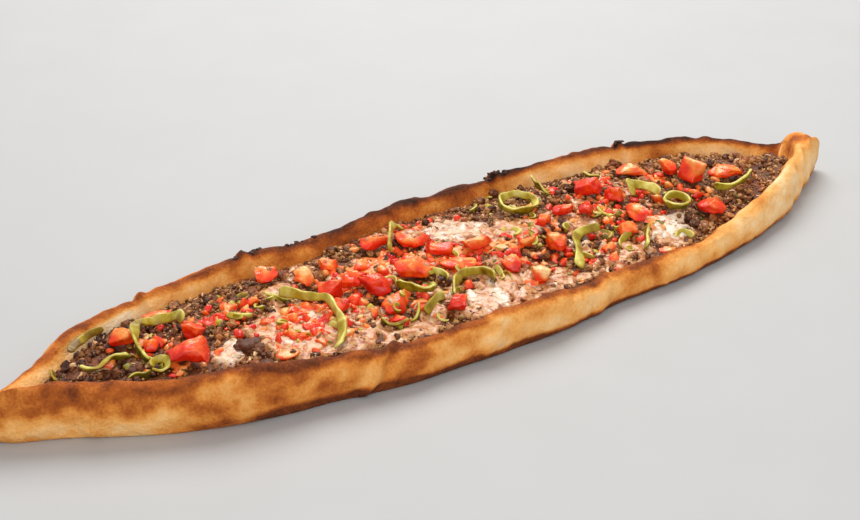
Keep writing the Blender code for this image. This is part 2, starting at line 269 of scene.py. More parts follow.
# How pale each tomato solid's flesh is, from 0, deep red, to 1, the orange of its seeds
TOMATO_TONES = (
    (0.50, 0.60, 0.20, 0.22, 0.42, 0.70, 0.15, 0.25, 0.35, 0.12, 0.60, 0.40)
    + (0.30, 0.45, 0.40, 0.30, 0.40, 0.48, 0.12, 0.42, 0.38, 0.50, 0.20, 0.08)
    + (0.18, 0.30, 0.35, 0.48, 0.52, 0.34, 0.42, 0.44, 0.34, 0.72)
)
# Where small bits of tomato lie thickest: x, y, spread in millimetres, and how many
TOMATO_CLUSTERS = (
    (-113, -22, 22, 80),
    (-70, 2, 30, 50),
    (-10, 0, 34, 50),
    (30, -30, 30, 34),
    (95, -4, 44, 60),
    (-60, -34, 26, 20),
    (-175, -8, 26, 22),
    (160, -6, 24, 12),
    (-140, 8, 22, 30),
    (-10, 30, 34, 26),
    (130, 20, 26, 18),
)
# Soft flesh between the tomato pieces: x, y and reach along and across in millimetres
PULP_POOLS = (
    (-70, 6, 26, 14),
    (-30, 8, 22, 12),
    (-112, -22, 22, 14),
    (-5, 2, 20, 9),
    (24, -4, 20, 10),
    (52, 10, 18, 12),
    (92, 0, 26, 14),
    (150, 16, 18, 10),
    (-170, -22, 14, 8),
    (12, -34, 14, 8),
    (-141, 4, 11, 8),
    (-46, 24, 16, 8),
    (118, -22, 16, 9),
)
PEPPER_CLUSTERS = (
    (-113, -30, 26, 16),
    (-100, 10, 20, 10),
    (-55, -34, 26, 18),
    (-10, -34, 30, 16),
    (30, -4, 30, 12),
    (60, 36, 24, 12),
    (95, -8, 34, 22),
    (-190, -10, 30, 8),
    (-135, 12, 16, 6),
)
# Pools of melted cheese: x, y, reach along and across in millimetres, and how full they are
CHEESE_POOLS = (
    (-84, -47, 16, 9, 0.5),
    (-114, -46, 20, 7, 0.5),
    (-29, -24, 14, 9, 0.4),
    (-14, -50, 24, 12, 0.4),
    (6, -24, 14, 14, 0.5),
    (25, -47, 26, 11, 0.5),
    (70, -8, 10, 9, 0.4),
    (82, -24, 10, 8, 0.5),
    (112, -40, 16, 10, 0.4),
    (-50, -46, 18, 9, 0.4),
    (-86, -16, 10, 8, 0.4),
    (-149, -14, 14, 8, 0.3),
    (54, -52, 16, 7, 0.3),
    (-140, 6, 13, 9, 0.75),
    (-128, 24, 10, 7, 0.6),
    (88, -42, 16, 7, 0.45),
)
CHEESES = (
    (-154, -28, 19, 14, 40),
    (-114, -24, 50, 44, -30),
    (-103, 15, 22, 17, -30),
    (10, 24, 36, 27, -10),
    (-14, -46, 32, 20, 50),
    (38, 10, 34, 20, -30),
    (79, -5, 21, 14, -30),
    (123, -30, 28, 22, 60),
)
# How white each cheese solid is: the rest is stained with oil
CHEESE_TONES = (0.60, 0.34, 0.32, 0.56, 0.52, 0.36, 0.44, 0.64)


# ---------------------------------------------------------------- shaping tools


def smooth_curve(column):
    """A function through one column of the outline, with a cubic between each two rows."""
    places = [row[0] * MM for row in OUTLINE]
    values = [row[column] * MM for row in OUTLINE]
    last = len(places) - 1

    def slope(i):
        before, after = max(i - 1, 0), min(i + 1, last)
        return (values[after] - values[before]) / (places[after] - places[before])

    def value(x):
        i = 0
        while i < last - 1 and x > places[i + 1]:
            i += 1
        span = places[i + 1] - places[i]
        t = min(max((x - places[i]) / span, 0.0), 1.0)
        t2, t3 = t * t, t * t * t
        return (
            (2 * t3 - 3 * t2 + 1) * values[i]
            + (t3 - 2 * t2 + t) * span * slope(i)
            + (3 * t2 - 2 * t3) * values[i + 1]
            + (t3 - t2) * span * slope(i + 1)
        )

    return value


near_edge, near_height = smooth_curve(1), smooth_curve(2)
far_edge, far_height = smooth_curve(3), smooth_curve(4)


def smoothstep(t):
    t = np.clip(t, 0.0, 1.0)
    return t * t * (3 - 2 * t)


def field(points, size, seed):
    """Smooth unevenness from about -1 to 1 at each point, with humps about size apart."""
    shift = Vector((seed * 7.31, seed * 3.17, seed * 5.53))
    return np.array([noise.noise(Vector(p) + shift) for p in np.asarray(points) / size])


def wobble(x, size, seed):
    return noise.noise(Vector((x / size, seed * 4.7, seed * 1.9)))


def new_piece(name, points, faces, material, slot, **attributes):
    """A smooth mesh piece that rides with the pide, with numbers per point for its material."""
    mesh = bpy.data.meshes.new(name)
    mesh.from_pydata([tuple(p) for p in points], [], faces)
    mesh.validate()
    for key, values in attributes.items():
        layer = mesh.attributes.new(key, "FLOAT", "POINT")
        layer.data.foreach_set("value", np.asarray(values, dtype=np.float32))
    mesh.shade_smooth()
    mesh.materials.append(material)
    obj = bpy.data.objects.new(name, mesh)
    bpy.context.scene.collection.objects.link(obj)
    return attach(obj, "root")


# ---------------------------------------------------------------- materials


def srgb(*values):
    """Linear colour from eight-bit values as read off a picture."""
    parts = [v / 255 for v in values]
    return (*[c / 12.92 if c <= 0.04045 else ((c + 0.055) / 1.055) ** 2.4 for c in parts], 1)


class Look:
    """A material's node tree with short names for the nodes that all these looks share."""

    def __init__(self, name, roughness):
        self.material = bpy.data.materials.new(name)
        self.material.use_nodes = True
        self.nodes = self.material.node_tree.nodes
        self.links = self.material.node_tree.links
        self.shader = self.nodes["Principled BSDF"]
        self.set("Roughness", roughness)
        self.coordinates = self.nodes.new("ShaderNodeTexCoord").outputs["Object"]

    def set(self, socket, value):
        self.shader.inputs[socket].default_value = value

    def join(self, output, target):
        self.links.new(output, target)

    def noise(self, size, detail=3.0, roughness=0.55, distortion=0.0):
        node = self.nodes.new("ShaderNodeTexNoise")
        node.inputs["Scale"].default_value = 1 / (size * MM)
        node.inputs["Detail"].default_value = detail
        node.inputs["Roughness"].default_value = roughness
        node.inputs["Distortion"].default_value = distortion
        self.join(self.coordinates, node.inputs["Vector"])
        return node.outputs["Fac"]

    def attribute(self, name):
        node = self.nodes.new("ShaderNodeAttribute")
        node.attribute_name = name
        return node.outputs["Fac"]

    def math(self, operation, first, second, third=None, clamp=False):
        node = self.nodes.new("ShaderNodeMath")
        node.operation = operation
        node.use_clamp = clamp
        for socket, value in zip(node.inputs, (first, second, third)):
            if isinstance(value, (int, float)):
                socket.default_value = value
            elif value is not None:
                self.join(value, socket)
        return node.outputs["Value"]

    def add_noise(self, value, size, amount, detail=3.0):
        """The value, pushed up and down by noise of that size in millimetres."""
        centred = self.math("SUBTRACT", self.noise(size, detail), 0.5)
        return self.math("MULTIPLY_ADD", centred, 2 * amount, value)

    def step(self, value, low, high):
        node = self.nodes.new("ShaderNodeMapRange")
        node.interpolation_type = "SMOOTHSTEP"
        node.inputs["From Min"].default_value = low
        node.inputs["From Max"].default_value = high
        self.join(value, node.inputs["Value"])
        return node.outputs["Result"]

    def ramp(self, value, stops):
        node = self.nodes.new("ShaderNodeValToRGB")
        elements = node.color_ramp.elements
        while len(elements) < len(stops):
            elements.new(0.5)
        for element, (place, colour) in zip(elements, stops):
            element.position = place
            element.color = colour
        self.join(value, node.inputs["Fac"])
        return node.outputs["Color"]

    def mix(self, share, first, second):
        node = self.nodes.new("ShaderNodeMix")
        node.data_type = "RGBA"
        self.join(share, node.inputs[0])
        for socket, value in zip(node.inputs[6:8], (first, second)):
            if isinstance(value, tuple):
                socket.default_value = value
            else:
                self.join(value, socket)
        return node.outputs[2]

    def colour(self, output):
        self.join(output, self.shader.inputs["Base Color"])

    def vary_roughness(self, value, low, high):
        node = self.nodes.new("ShaderNodeMapRange")
        node.inputs["To Min"].default_value = low
        node.inputs["To Max"].default_value = high
        self.join(value, node.inputs["Value"])
        self.join(node.outputs["Result"], self.shader.inputs["Roughness"])

    def bump(self, height, distance, strength=1.0):
        node = self.nodes.new("ShaderNodeBump")
        node.inputs["Strength"].default_value = strength
        node.inputs["Distance"].default_value = distance * MM
        self.join(height, node.inputs["Height"])
        self.join(node.outputs["Normal"], self.shader.inputs["Normal"])

    def soft_inside(self, weight, radius, depth):
        """Light that goes in and comes out again a little way off."""
        self.set("Subsurface Weight", weight)
        self.set("Subsurface Radius", radius)
        self.set("Subsurface Scale", depth * MM)


def crust_look():
    look = Look("baked_crust", 0.6)
    # this attribute holds the browning together with painted shade and painted light
    bake = look.attribute("bake")
    bake = look.add_noise(bake, 20, 0.07, 4)
    bake = look.add_noise(bake, 6, 0.10, 4)
    bake = look.add_noise(bake, 1.5, 0.09)
    look.colour(
        look.ramp(
            bake,
            (
                (0.00, srgb(252, 224, 182)),
                (0.16, srgb(249, 204, 144)),
                (0.34, srgb(241, 176, 98)),
                (0.50, srgb(218, 136, 56)),
                (0.64, srgb(174, 90, 30)),
                (0.78, srgb(118, 56, 22)),
                (0.90, srgb(66, 33, 18)),
                (1.00, srgb(32, 18, 12)),
            ),
        )
    )
    look.vary_roughness(look.noise(9, 4), 0.6, 0.88)
    height = look.math("MULTIPLY_ADD", look.noise(0.9, 3, 0.6), 0.35, look.noise(3.2, 5, 0.6))
    look.bump(height, 1.2, 1.0)
    look.set("Specular IOR Level", 0.18)
    return look.material


def meat_look():
    look = Look("minced_meat", 0.45)
    tone = look.attribute("tone")
    tone = look.add_noise(tone, 2.4, 0.30)
    tone = look.add_noise(tone, 0.8, 0.20)
    brown = look.ramp(
        tone,
        (
            (0.00, srgb(58, 25, 11)),
            (0.25, srgb(104, 54, 23)),
            (0.50, srgb(152, 95, 46)),
            (0.75, srgb(192, 140, 78)),
            (1.00, srgb(228, 188, 128)),
        ),
    )
    oily = look.ramp(
        tone,
        ((0.00, srgb(62, 24, 8)), (0.35, srgb(130, 62, 22)), (0.70, srgb(186, 112, 52)), (1.0, srgb(222, 170, 108))),
    )
    look.colour(look.mix(look.step(look.noise(24, 3), 0.49, 0.65), brown, oily))
    look.vary_roughness(look.noise(2.5, 3), 0.3, 0.65)
    look.set("Specular IOR Level", 0.35)
    look.bump(look.noise(0.8, 4, 0.65), 0.5, 0.9)
    return look.material


def cheese_look():
    look = Look("melted_cheese", 0.35)
    oil = look.math("SUBTRACT", look.noise(6, 5, 0.65, 0.8), look.attribute("tone"))
    stain = look.step(oil, -0.12, 0.06)
    deep = look.step(look.noise(3.2, 5, 0.65, 0.5), 0.53, 0.63)
    pale = look.mix(look.step(look.noise(4, 4), 0.4, 0.6), srgb(222, 203, 184), srgb(206, 175, 138))
    stained = look.mix(look.step(look.noise(2.6, 3), 0.4, 0.6), srgb(188, 114, 64), srgb(204, 158, 108))
    look.colour(look.mix(deep, look.mix(stain, pale, stained), srgb(146, 72, 42)))
    look.vary_roughness(look.noise(4, 3), 0.2, 0.5)
    look.bump(look.noise(2.8, 3), 0.5, 0.5)
    look.soft_inside(0.3, (1.0, 0.7, 0.5), 1.6)
    return look.material


def tomato_look():
    look = Look("cut_tomato", 0.28)
    skin = look.attribute("skin")
    tone = look.add_noise(look.attribute("tone"), 6, 0.42)
    tone = look.add_noise(tone, 2, 0.20)
    flesh = look.ramp(
        tone,
        (
            (0.00, srgb(214, 30, 5)),
            (0.28, srgb(234, 58, 10)),
            (0.52, srgb(246, 102, 28)),
            (0.75, srgb(246, 148, 66)),
            (1.00, srgb(246, 196, 126)),
        ),
    )
    peel = look.ramp(
        tone,
        ((0.0, srgb(204, 22, 3)), (0.4, srgb(238, 54, 10)), (1.0, srgb(248, 124, 42))),
    )
    look.colour(look.mix(skin, flesh, peel))
    look.vary_roughness(look.noise(3, 3), 0.2, 0.45)
    look.set("Specular IOR Level", 0.4)
    look.set("Coat Weight", 0.25)
    look.set("Coat Roughness", 0.1)
    look.bump(look.noise(1.6, 4, 0.6), 0.5, 0.8)
    look.soft_inside(0.12, (1.0, 0.25, 0.12), 1.5)
    return look.material


def pepper_look():
    look = Look("sliced_pepper", 0.3)
    skin = look.attribute("skin")
    tone = look.add_noise(look.attribute("tone"), 4, 0.42)
    flesh = look.ramp(
        tone, ((0.0, srgb(116, 84, 12)), (0.5, srgb(172, 148, 34)), (1.0, srgb(218, 208, 112)))
    )
    peel = look.ramp(
        tone,
        (
            (0.0, srgb(50, 40, 4)),
            (0.35, srgb(98, 85, 6)),
            (0.7, srgb(140, 128, 14)),
            (1.0, srgb(188, 176, 56)),
        ),
    )
    look.colour(look.mix(skin, flesh, peel))
    look.vary_roughness(look.noise(4, 2), 0.26, 0.48)
    look.set("Specular IOR Level", 0.35)
    look.bump(look.noise(1.8, 3), 0.35, 0.6)
    look.soft_inside(0.15, (0.8, 1.0, 0.2), 1.5)
    return look.material


def onion_look():
    look = Look("cooked_onion", 0.3)
    look.colour(look.mix(look.noise(6, 2), srgb(184, 122, 76), srgb(224, 188, 138)))
    look.soft_inside(0.3, (1.0, 0.7, 0.5), 1.5)
    return look.material


def herb_look():
    look = Look("chopped_parsley", 0.5)
    look.colour(look.mix(look.noise(5, 2), srgb(44, 50, 16), srgb(98, 104, 32)))
    return look.material


def char_look():
    look = Look("charred_crumb", 0.8)
    look.colour(look.mix(look.noise(3, 3), srgb(26, 16, 12), srgb(84, 44, 24)))
    look.bump(look.noise(1.0, 4), 0.6)
    return look.material


# ---------------------------------------------------------------- the dough


def lean(edge, x):
    step = 2 * MM
    return math.hypot(1, (edge(x + step) - edge(x - step)) / (2 * step))


def rim(height, floor, spread):
    """One folded side from the table over its crest to the floor, as insets and heights."""
    widest = WIDEST_LEVEL * height
    width = ROLL_FLAT + ROLL_PER_HEIGHT * height
    low, high = np.radians(OUTER_LOW), np.radians(OUTER_HIGH)
    fall = 0.5 + 0.5 * np.cos(np.pi * INNER_STEPS)
    insets = np.concatenate(
        (
            UNDERCUT * (1 - np.cos(low)),
            CREST_INSET * (1 - np.cos(high)),
            CREST_INSET + (width - CREST_INSET) * INNER_STEPS,
        )
    )
    levels = np.concatenate(
        (
            widest * (1 + np.sin(low)),
            widest + (height - widest) * np.sin(high),
            floor + (height - floor) * fall,
        )
    )
    return insets * spread, levels


def uneven_far_height(x):
    """The far crest's height, with the steps where folds start and the wear of a hand-shaped rim."""
    rise = 0.0
    for place, step in FAR_STEPS:
        past = x / MM - place
        rise += step * float(smoothstep(past / 4 + 0.5)) * math.exp(-max(past, 0) / 34) * MM
    dip = 6.5 * MM * float(smoothstep((x / MM - 218) / 34))
    return far_height(x) - dip + rise * 0.8 + (1.0 * wobble(x, 0.022, 3) + 0.5 * wobble(x, 0.009, 4)) * MM


def uneven_near_height(x):
    lift = 3.5 * float(smoothstep((-246 - x / MM) / 14)) + 1.4 * float(smoothstep((x / MM - 240) / 16))
    return near_height(x) + (lift + 0.9 * wobble(x, 0.036, 5) + 0.4 * wobble(x, 0.013, 6)) * MM


def dough_section(x):
    """The dough's top from the near foot to the far foot at x: y and z of each point."""
    near_y = near_edge(x) + (1.1 * wobble(x, 0.05, 1) + 0.5 * wobble(x, 0.018, 7)) * MM
    far_y = far_edge(x) + (1.0 * wobble(x, 0.04, 2) + 0.5 * wobble(x, 0.014, 8)) * MM
    near_z, far_z = uneven_near_height(x), uneven_far_height(x)
    near_lean, far_lean = lean(near_edge, x), lean(far_edge, x)
    near_width = (ROLL_FLAT + ROLL_PER_HEIGHT * near_z) * near_lean
    far_width = (ROLL_FLAT + ROLL_PER_HEIGHT * far_z) * far_lean
    room = (far_y - near_y) / (near_width + far_width)
    squeeze = min(1.0, 0.92 * room)
    closing = float(smoothstep((1.12 - room) / 0.7))
    tip = float(smoothstep((x / MM - 231) / 22))
    crown = 0.9 * min(near_z, far_z) * (1 - tip) + 0.92 * near_z * tip
    floor = BASE_THICKNESS + (crown - BASE_THICKNESS) * closing
    lap = (NEAR_LAP + 0.58 * tip) * closing
    near_in, near_up = rim(near_z, floor, squeeze * near_lean * (1 + lap))
    far_in, far_up = rim(far_z, floor, squeeze * far_lean * (1 - lap))
    left, right = near_y + near_in, far_y - far_in[::-1]
    across = left[-1] + (right[0] - left[-1]) * np.linspace(0, 1, 7)[1:-1]
    return (
        np.concatenate((left, across, right)),
        np.concatenate((near_up, np.full(5, floor), far_up[::-1])),
    )


def side_marks():
    """For each point of a section: its side, and its place from the foot over the crest to the floor."""
    outer = len(OUTER_LOW) + len(OUTER_HIGH)
    place = np.concatenate((np.linspace(0, 1, outer), 1 + INNER_STEPS))
    side = np.concatenate((np.full(len(place), NEAR), np.zeros(5), np.full(len(place), FAR)))
    return side, np.concatenate((place, np.full(5, 2.0), place[::-1]))


def dough_grid():
    """The dough's points as an array of sections from tip to tip, the under side last in each."""
    straight = HALF_LENGTH - CAP_LENGTH
    turns = np.radians(90 * np.arange(CAP_STATIONS) / CAP_STATIONS)
    caps = [(straight + CAP_LENGTH * math.sin(a), math.cos(a)) for a in turns]
    places = [(-x, share) for x, share in reversed(caps)]
    places += [(x, 1.0) for x in np.linspace(-straight, straight, STATIONS + 2)[1:-1]]
    places += caps
    rows = []
    for x, share in places:
        y, z = dough_section(x)
        under = np.linspace(y[-1], y[0], 12)[1:-1]
        y = np.concatenate((y, under))
        z = np.concatenate((z, np.zeros(len(under))))
        centre = (near_edge(x) + far_edge(x)) / 2
        y = centre + (y - centre) * share
        z = NOSE_HEIGHT + (z - NOSE_HEIGHT) * share
        rows.append(np.stack((np.full(len(y), x), y, z), axis=1))
    return np.array(rows)


def grid_normals(grid):
    along = np.gradient(grid, axis=0)
    around = np.roll(grid, -1, axis=1) - np.roll(grid, 1, axis=1)
    normals = np.cross(around, along)
    return normals / np.maximum(np.linalg.norm(normals, axis=2, keepdims=True), 1e-12)


def dough_relief(points, side, place):
    """How far each point stands out, in millimetres: lumps, blisters and creases."""
    relief = 1.4 * field(points, 0.042, 1) + 1.25 * field(points, 0.018, 2)
    relief += 0.6 * field(points, 0.008, 3) + 0.25 * field(points, 0.0035, 4)
    blisters = smoothstep((field(points, 0.011, 5) - 0.28) / 0.35)
    relief += 0.8 * blisters * (side == NEAR) + 0.4 * blisters * (side == FAR)
    x = points[:, 0] / MM
    for where, foot, top, depth, width in CREASES:
        line = foot + (top - foot) * place / 1.6
        off = (x - line + 1.5 * field(points, 0.012, 9)) / width
        shape = -np.exp(-off * off) + 0.55 * np.exp(-((np.abs(off) - 2.2) ** 2) / 1.6)
        relief += depth * shape * (side == where) * smoothstep((1.75 - place) / 0.3)
    return relief, blisters


def dough_bake(points, side, place, blisters):
    """How brown each point is, from 0, still pale, to 1, burnt, with painted shade and painted light mixed in."""
    x = points[:, 0] / MM
    near, far = side == NEAR, side == FAR
    outer = np.clip(place, 0, 1)
    inner = np.clip(place - 1, 0, 1)
    along = np.interp(
        x,
        (-275, -230, -216, -199, -183, -172, -162, -135, -105, -82, -60, -20, 30, 60, 85, 170, 212, 240, 275),
        (0.08, 0.11, 0.09, 0.03, 0.12, 0.08, 0.00, 0.05, -0.02, 0.04, -0.05, -0.08)
        + (-0.06, -0.01, 0.01, -0.15, -0.27, -0.23, -0.13),
    )
    wall = 0.46 + 0.05 * smoothstep((outer - 0.45) / 0.45) + along
    edge = np.interp(
        x,
        (-275, -230, -216, -199, -184, -162, -135, -118, -102, 45, 90, 120, 150),
        (0.86, 0.70, 0.64, 0.70, 0.72, 0.84, 0.70, 0.72, 0.81, 0.81, 0.92, 0.98, 1.2),
    )
    band = np.interp(x, (-275, -230, -205, -180, -110, 60, 90, 150), (0.02, 0.03, 0.08, 0.15, 0.22, 0.22, 0.10, 0.14))
    edge = edge + 0.07 * field(points, 0.016, 17) + 0.04 * field(points, 0.006, 18)
    wall += band * smoothstep((place - edge) / 0.14 + 0.5)
    wall -= 0.25 * smoothstep((0.59 - outer) / 0.26) * np.interp(x, (-215, -180, -150), (1, 0.6, 0))
    # partly browning and partly painted shade: the near side's foot is darker, as under the overhanging roll
    wall += 0.46 * smoothstep((0.39 - outer) / 0.14) * np.interp(x, (-190, -140, 200, 250), (0, 1, 1.0, 0.5))
    wall += 0.10 * np.exp(-(((place - 1.12) / 0.13) ** 2)) * np.interp(x, (-60, 60, 130, 165), (0.8, 1, 1, -0.8))
    # painted light: the middle of the near side's right half is paler, as where light falls on the roll
    wall -= 0.10 * np.exp(-(((place - 0.62) / 0.2) ** 2)) * np.interp(x, (-20, 40), (0, 1))
    crest = np.interp(x, (-275, -190, -120, -20, 40, 150, 235, 275), (0.10, 0.16, 0.20, 0.24, 0.27, 0.45, 0.40, 0.1))
    back = 0.5 + crest * np.exp(-(((place - 1.03) / 0.15) ** 2))
    back += 0.13 * np.interp(x, (-110, -70, 50, 72), (0, 1, 1, 0))
    pale = np.interp(
        x,
        (-262, -240, -215, -184, -155, -98, -60, 58, 76, 110, 166, 216, 240),
        (0.0, 0.6, 1.0, 1.90, 0.70, 0.24, 0.1, 0.1, 0.7, 0.8, 0.25, 0.7, 0.0),
    )
    back -= 0.28 * smoothstep((inner - 0.18) / 0.14) * pale
    back += 0.10 * smoothstep((inner - 0.55) / 0.3)
    bake = np.where(near, wall, np.where(far, back, 0.3))
    for where, spot, level, length, width, strength in SCORCHES_AND_SHADE:
        away = ((x - spot) / length) ** 2 + ((place - level) / width) ** 2
        bake += strength * np.exp(-away) * (side == where)
    drawn_out = points * (0.6, 1, 1)
    bake += 0.10 * field(drawn_out, 0.030, 11) + 0.15 * field(drawn_out, 0.012, 12)
    bake += 0.12 * field(drawn_out, 0.0055, 13) + 0.06 * blisters * near
    freckles = smoothstep((field(points, 0.0065, 14) - 0.3) / 0.25)
    bake += 0.08 * freckles * smoothstep((field(points, 0.05, 15) + 0.1) / 0.5)
    bake = np.where(far & (bake > 0.78), 0.78 + 0.55 * (bake - 0.78), bake)
    return np.where(near, np.clip(bake, 0, 0.8), np.clip(bake, 0, 0.96))


def dough(material):
    grid = dough_grid()
    count, around = grid.shape[:2]
    side, place = side_marks()
    beneath = around - len(side)
    side = np.tile(np.concatenate((side, np.zeros(beneath))), count)
    place = np.tile(np.concatenate((place, np.zeros(beneath))), count)
    points, normals = grid.reshape(-1, 3), grid_normals(grid).reshape(-1, 3)
    relief, blisters = dough_relief(points, side, place)
    top = np.tile(np.arange(around) < around - beneath, count)
    lifted = smoothstep(points[:, 2] / (4 * MM)) * top
    points = points + normals * (relief * MM * lifted)[:, None]
    points[:, 2] = np.maximum(points[:, 2], 0)
    bake = dough_bake(points, side, place, blisters)
    bake = np.where(top, bake, 0.45)
    faces = []
    for i in range(count - 1):
        for j in range(around):
            k = (j + 1) % around
            faces.append((i * around + j, (i + 1) * around + j, (i + 1) * around + k, i * around + k))
    tips = []
    for x, ring, outward in ((-HALF_LENGTH, 0, True), (HALF_LENGTH, count - 1, False)):
        tip = len(points) + len(tips)
        tips.append((x, (near_edge(x) + far_edge(x)) / 2, NOSE_HEIGHT))
        for j in range(around):
            k = (j + 1) % around
            pair = (ring * around + j, ring * around + k)
            faces.append((*(pair if outward else pair[::-1]), tip))
    points = np.concatenate((points, np.array(tips)))
    bake = np.concatenate((bake, (0.5, 0.4)))
    piece = new_piece("baked_dough", points, faces, material, "baked_crust", bake=bake)
    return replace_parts(piece, "dough")


# ---------------------------------------------------------------- the bed of meat

CELL = 1 * MM
MAP_X = np.arange(-276, 277) * MM
MAP_Y = np.arange(-74, 75) * MM


def tree_of(*objects):
    points, faces = [], []
    for obj in objects:
        base = len(points)
        points += [obj.matrix_world @ v.co for v in obj.data.vertices]
        faces += [tuple(base + i for i in p.vertices) for p in obj.data.polygons]
    return BVHTree.FromPolygons(points, faces)


def height_map(tree):
    """The level of what the tree holds over a grid of places, or -1 where there is nothing."""
    levels = np.full((len(MAP_X), len(MAP_Y)), -1.0)
    down = Vector((0, 0, -1))
    for i, x in enumerate(MAP_X):
        for j, y in enumerate(MAP_Y):
            hit = tree.ray_cast(Vector((x, y, 0.1)), down)[0]
            if hit:
                levels[i, j] = hit.z
    return levels


def cell(x, y):
    return int(round((x - MAP_X[0]) / CELL)), int(round((y - MAP_Y[0]) / CELL))


def refined(node, cuts, smooth=True):
    """A finer copy of a solid's mesh, as a bmesh."""
    bm = bmesh.new()
    bm.from_mesh(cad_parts[node].data)
    bmesh.ops.remove_doubles(bm, verts=bm.verts, dist=0.01 * MM)
    bmesh.ops.join_triangles(
        bm, faces=bm.faces, angle_face_threshold=0.7, angle_shape_threshold=1.2, cmp_seam=False
    )
    bmesh.ops.subdivide_edges(
        bm, edges=bm.edges, cuts=cuts, use_grid_fill=True, smooth=1.0 if smooth else 0.0
    )
    bmesh.ops.recalc_face_normals(bm, faces=bm.faces)
    return bm


def take(bm):
    """The points, normals and faces of a bmesh, which is then freed."""
    bm.verts.ensure_lookup_table()
    bm.normal_update()
    points = np.array([v.co for v in bm.verts])
    normals = np.array([v.normal for v in bm.verts])
    faces = [tuple(v.index for v in f.verts) for f in bm.faces]
    bm.free()
    return points, normals, faces


def spread(levels, passes):
    """A height map carried on outward past its edge."""
    out = levels.copy()
    for _ in range(passes):
        sides = [np.roll(out, step, axis) for axis in (0, 1) for step in (-1, 1)]
        known = sum((side > 0).astype(float) for side in sides)
        total = sum(np.where(side > 0, side, 0) for side in sides)
        out = np.where((out <= 0) & (known > 0), total / np.maximum(known, 1), out)
    return out


def blurred(levels, passes):
    """A height map with its bumps evened out."""
    out = levels.copy()
    for _ in range(passes):
        out = (out + np.roll(out, 1, 0) + np.roll(out, -1, 0) + np.roll(out, 1, 1) + np.roll(out, -1, 1)) / 5
    return out


def level_at(levels, x, y):
    """A height map's level, evenly between the four places of the grid around x and y."""
    u, v = (x - MAP_X[0]) / CELL, (y - MAP_Y[0]) / CELL
    i, j = int(u), int(v)
    u, v = u - i, v - j
    low = levels[i, j] * (1 - v) + levels[i, j + 1] * v
    high = levels[i + 1, j] * (1 - v) + levels[i + 1, j + 1] * v
    return low * (1 - u) + high * u


def sheet(name, box, spacing, sides_at, material, slot, tone=0.5):
    """A closed sheet over a grid of places: sides_at(x, y), all in millimetres, gives its upper and
    lower level there in metres, or None outside it."""
    (x0, y0), (x1, y1) = box
    index, tops, bottoms = {}, [], []
    for i, x in enumerate(np.arange(x0, x1, spacing)):
        for j, y in enumerate(np.arange(y0, y1, spacing)):
            levels = sides_at(x, y)
            if levels is not None:
                index[i, j] = len(tops)
                tops.append((x * MM, y * MM, levels[0]))
                bottoms.append((x * MM, y * MM, levels[1]))
    size, faces, edges = len(tops), [], {}
    for i, j in index:
        corners = [index.get(k) for k in ((i, j), (i + 1, j), (i + 1, j + 1), (i, j + 1))]
        if None in corners:
            continue
        faces.append(tuple(corners))
        faces.append(tuple(size + c for c in reversed(corners)))
        for k in range(4):
            first, second = corners[k], corners[(k + 1) % 4]
            if edges.pop((second, first), None) is None:
                edges[first, second] = True
    faces += [(b, a, size + a, size + b) for a, b in edges]
    used = sorted({v for face in faces for v in face})
    renumbered = {v: k for k, v in enumerate(used)}
    points = np.array(tops + bottoms)[used]
    faces = [tuple(renumbered[v] for v in face) for face in faces]
    tones = tone + 0.2 * field(points, 0.007, 31)
    return new_piece(name, points, faces, material, slot, tone=tones, skin=np.zeros(len(points)))


def meat_core(material):
    """The heap under the loose crumbs: the solid's top, lower by a layer of crumbs and pebbly."""
    top = spread(height_map(tree_of(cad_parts["minced_meat"])), 7)

    def sides_at(x, y):
        level = level_at(top, x * MM, y * MM)
        if level < 3 * MM:
            return None
        far_foot = far_edge(x * MM) / MM - 21
        from_far = max(far_foot - y, 0) / 10
        at = Vector((x, y, 0))
        lump = 0.9 * noise.noise(at / 9) + 0.6 * noise.noise(at / 3.5)
        return level + (lump - 2.2 - 3.0 * math.exp(-from_far * from_far)) * MM, 4.4 * MM

    box = ((-250, -70), (250, 70))
    piece = sheet("meat_bed", box, 2.1, sides_at, material, "minced_meat", 0.25)
    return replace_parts(piece, "minced_meat")


def crumb_shapes(count, divisions, cragginess=0.75):
    """Craggy little lumps of about unit radius, as point arrays, and the faces they share."""
    bm = bmesh.new()
    bmesh.ops.create_icosphere(bm, subdivisions=divisions, radius=1)
    points, _, faces = take(bm)
    shapes = []
    for seed in range(count):
        swell = 1 + cragginess * field(points, 0.9, seed + 40) + 0.7 * cragginess * field(points, 0.4, seed + 80)
        stretch = rng.uniform((0.9, 0.7, 0.55), (1.4, 1.1, 0.95))
        shapes.append(points * swell[:, None] * stretch)
    return shapes, faces


def turned(points, tilt):
    """The points turned by a random heading and tipped by up to tilt radians."""
    heading, tip, roll = rng.uniform(0, 2 * math.pi), rng.uniform(-tilt, tilt), rng.uniform(-tilt, tilt)
    ch, sh, ct, st, cr, sr = (f(a) for a in (heading, tip, roll) for f in (math.cos, math.sin))
    spin = np.array(((ch, -sh, 0), (sh, ch, 0), (0, 0, 1)))
    pitch = np.array(((ct, 0, st), (0, 1, 0), (-st, 0, ct)))
    bank = np.array(((1, 0, 0), (0, cr, -sr), (0, sr, cr)))
    return points @ (spin @ pitch @ bank).T


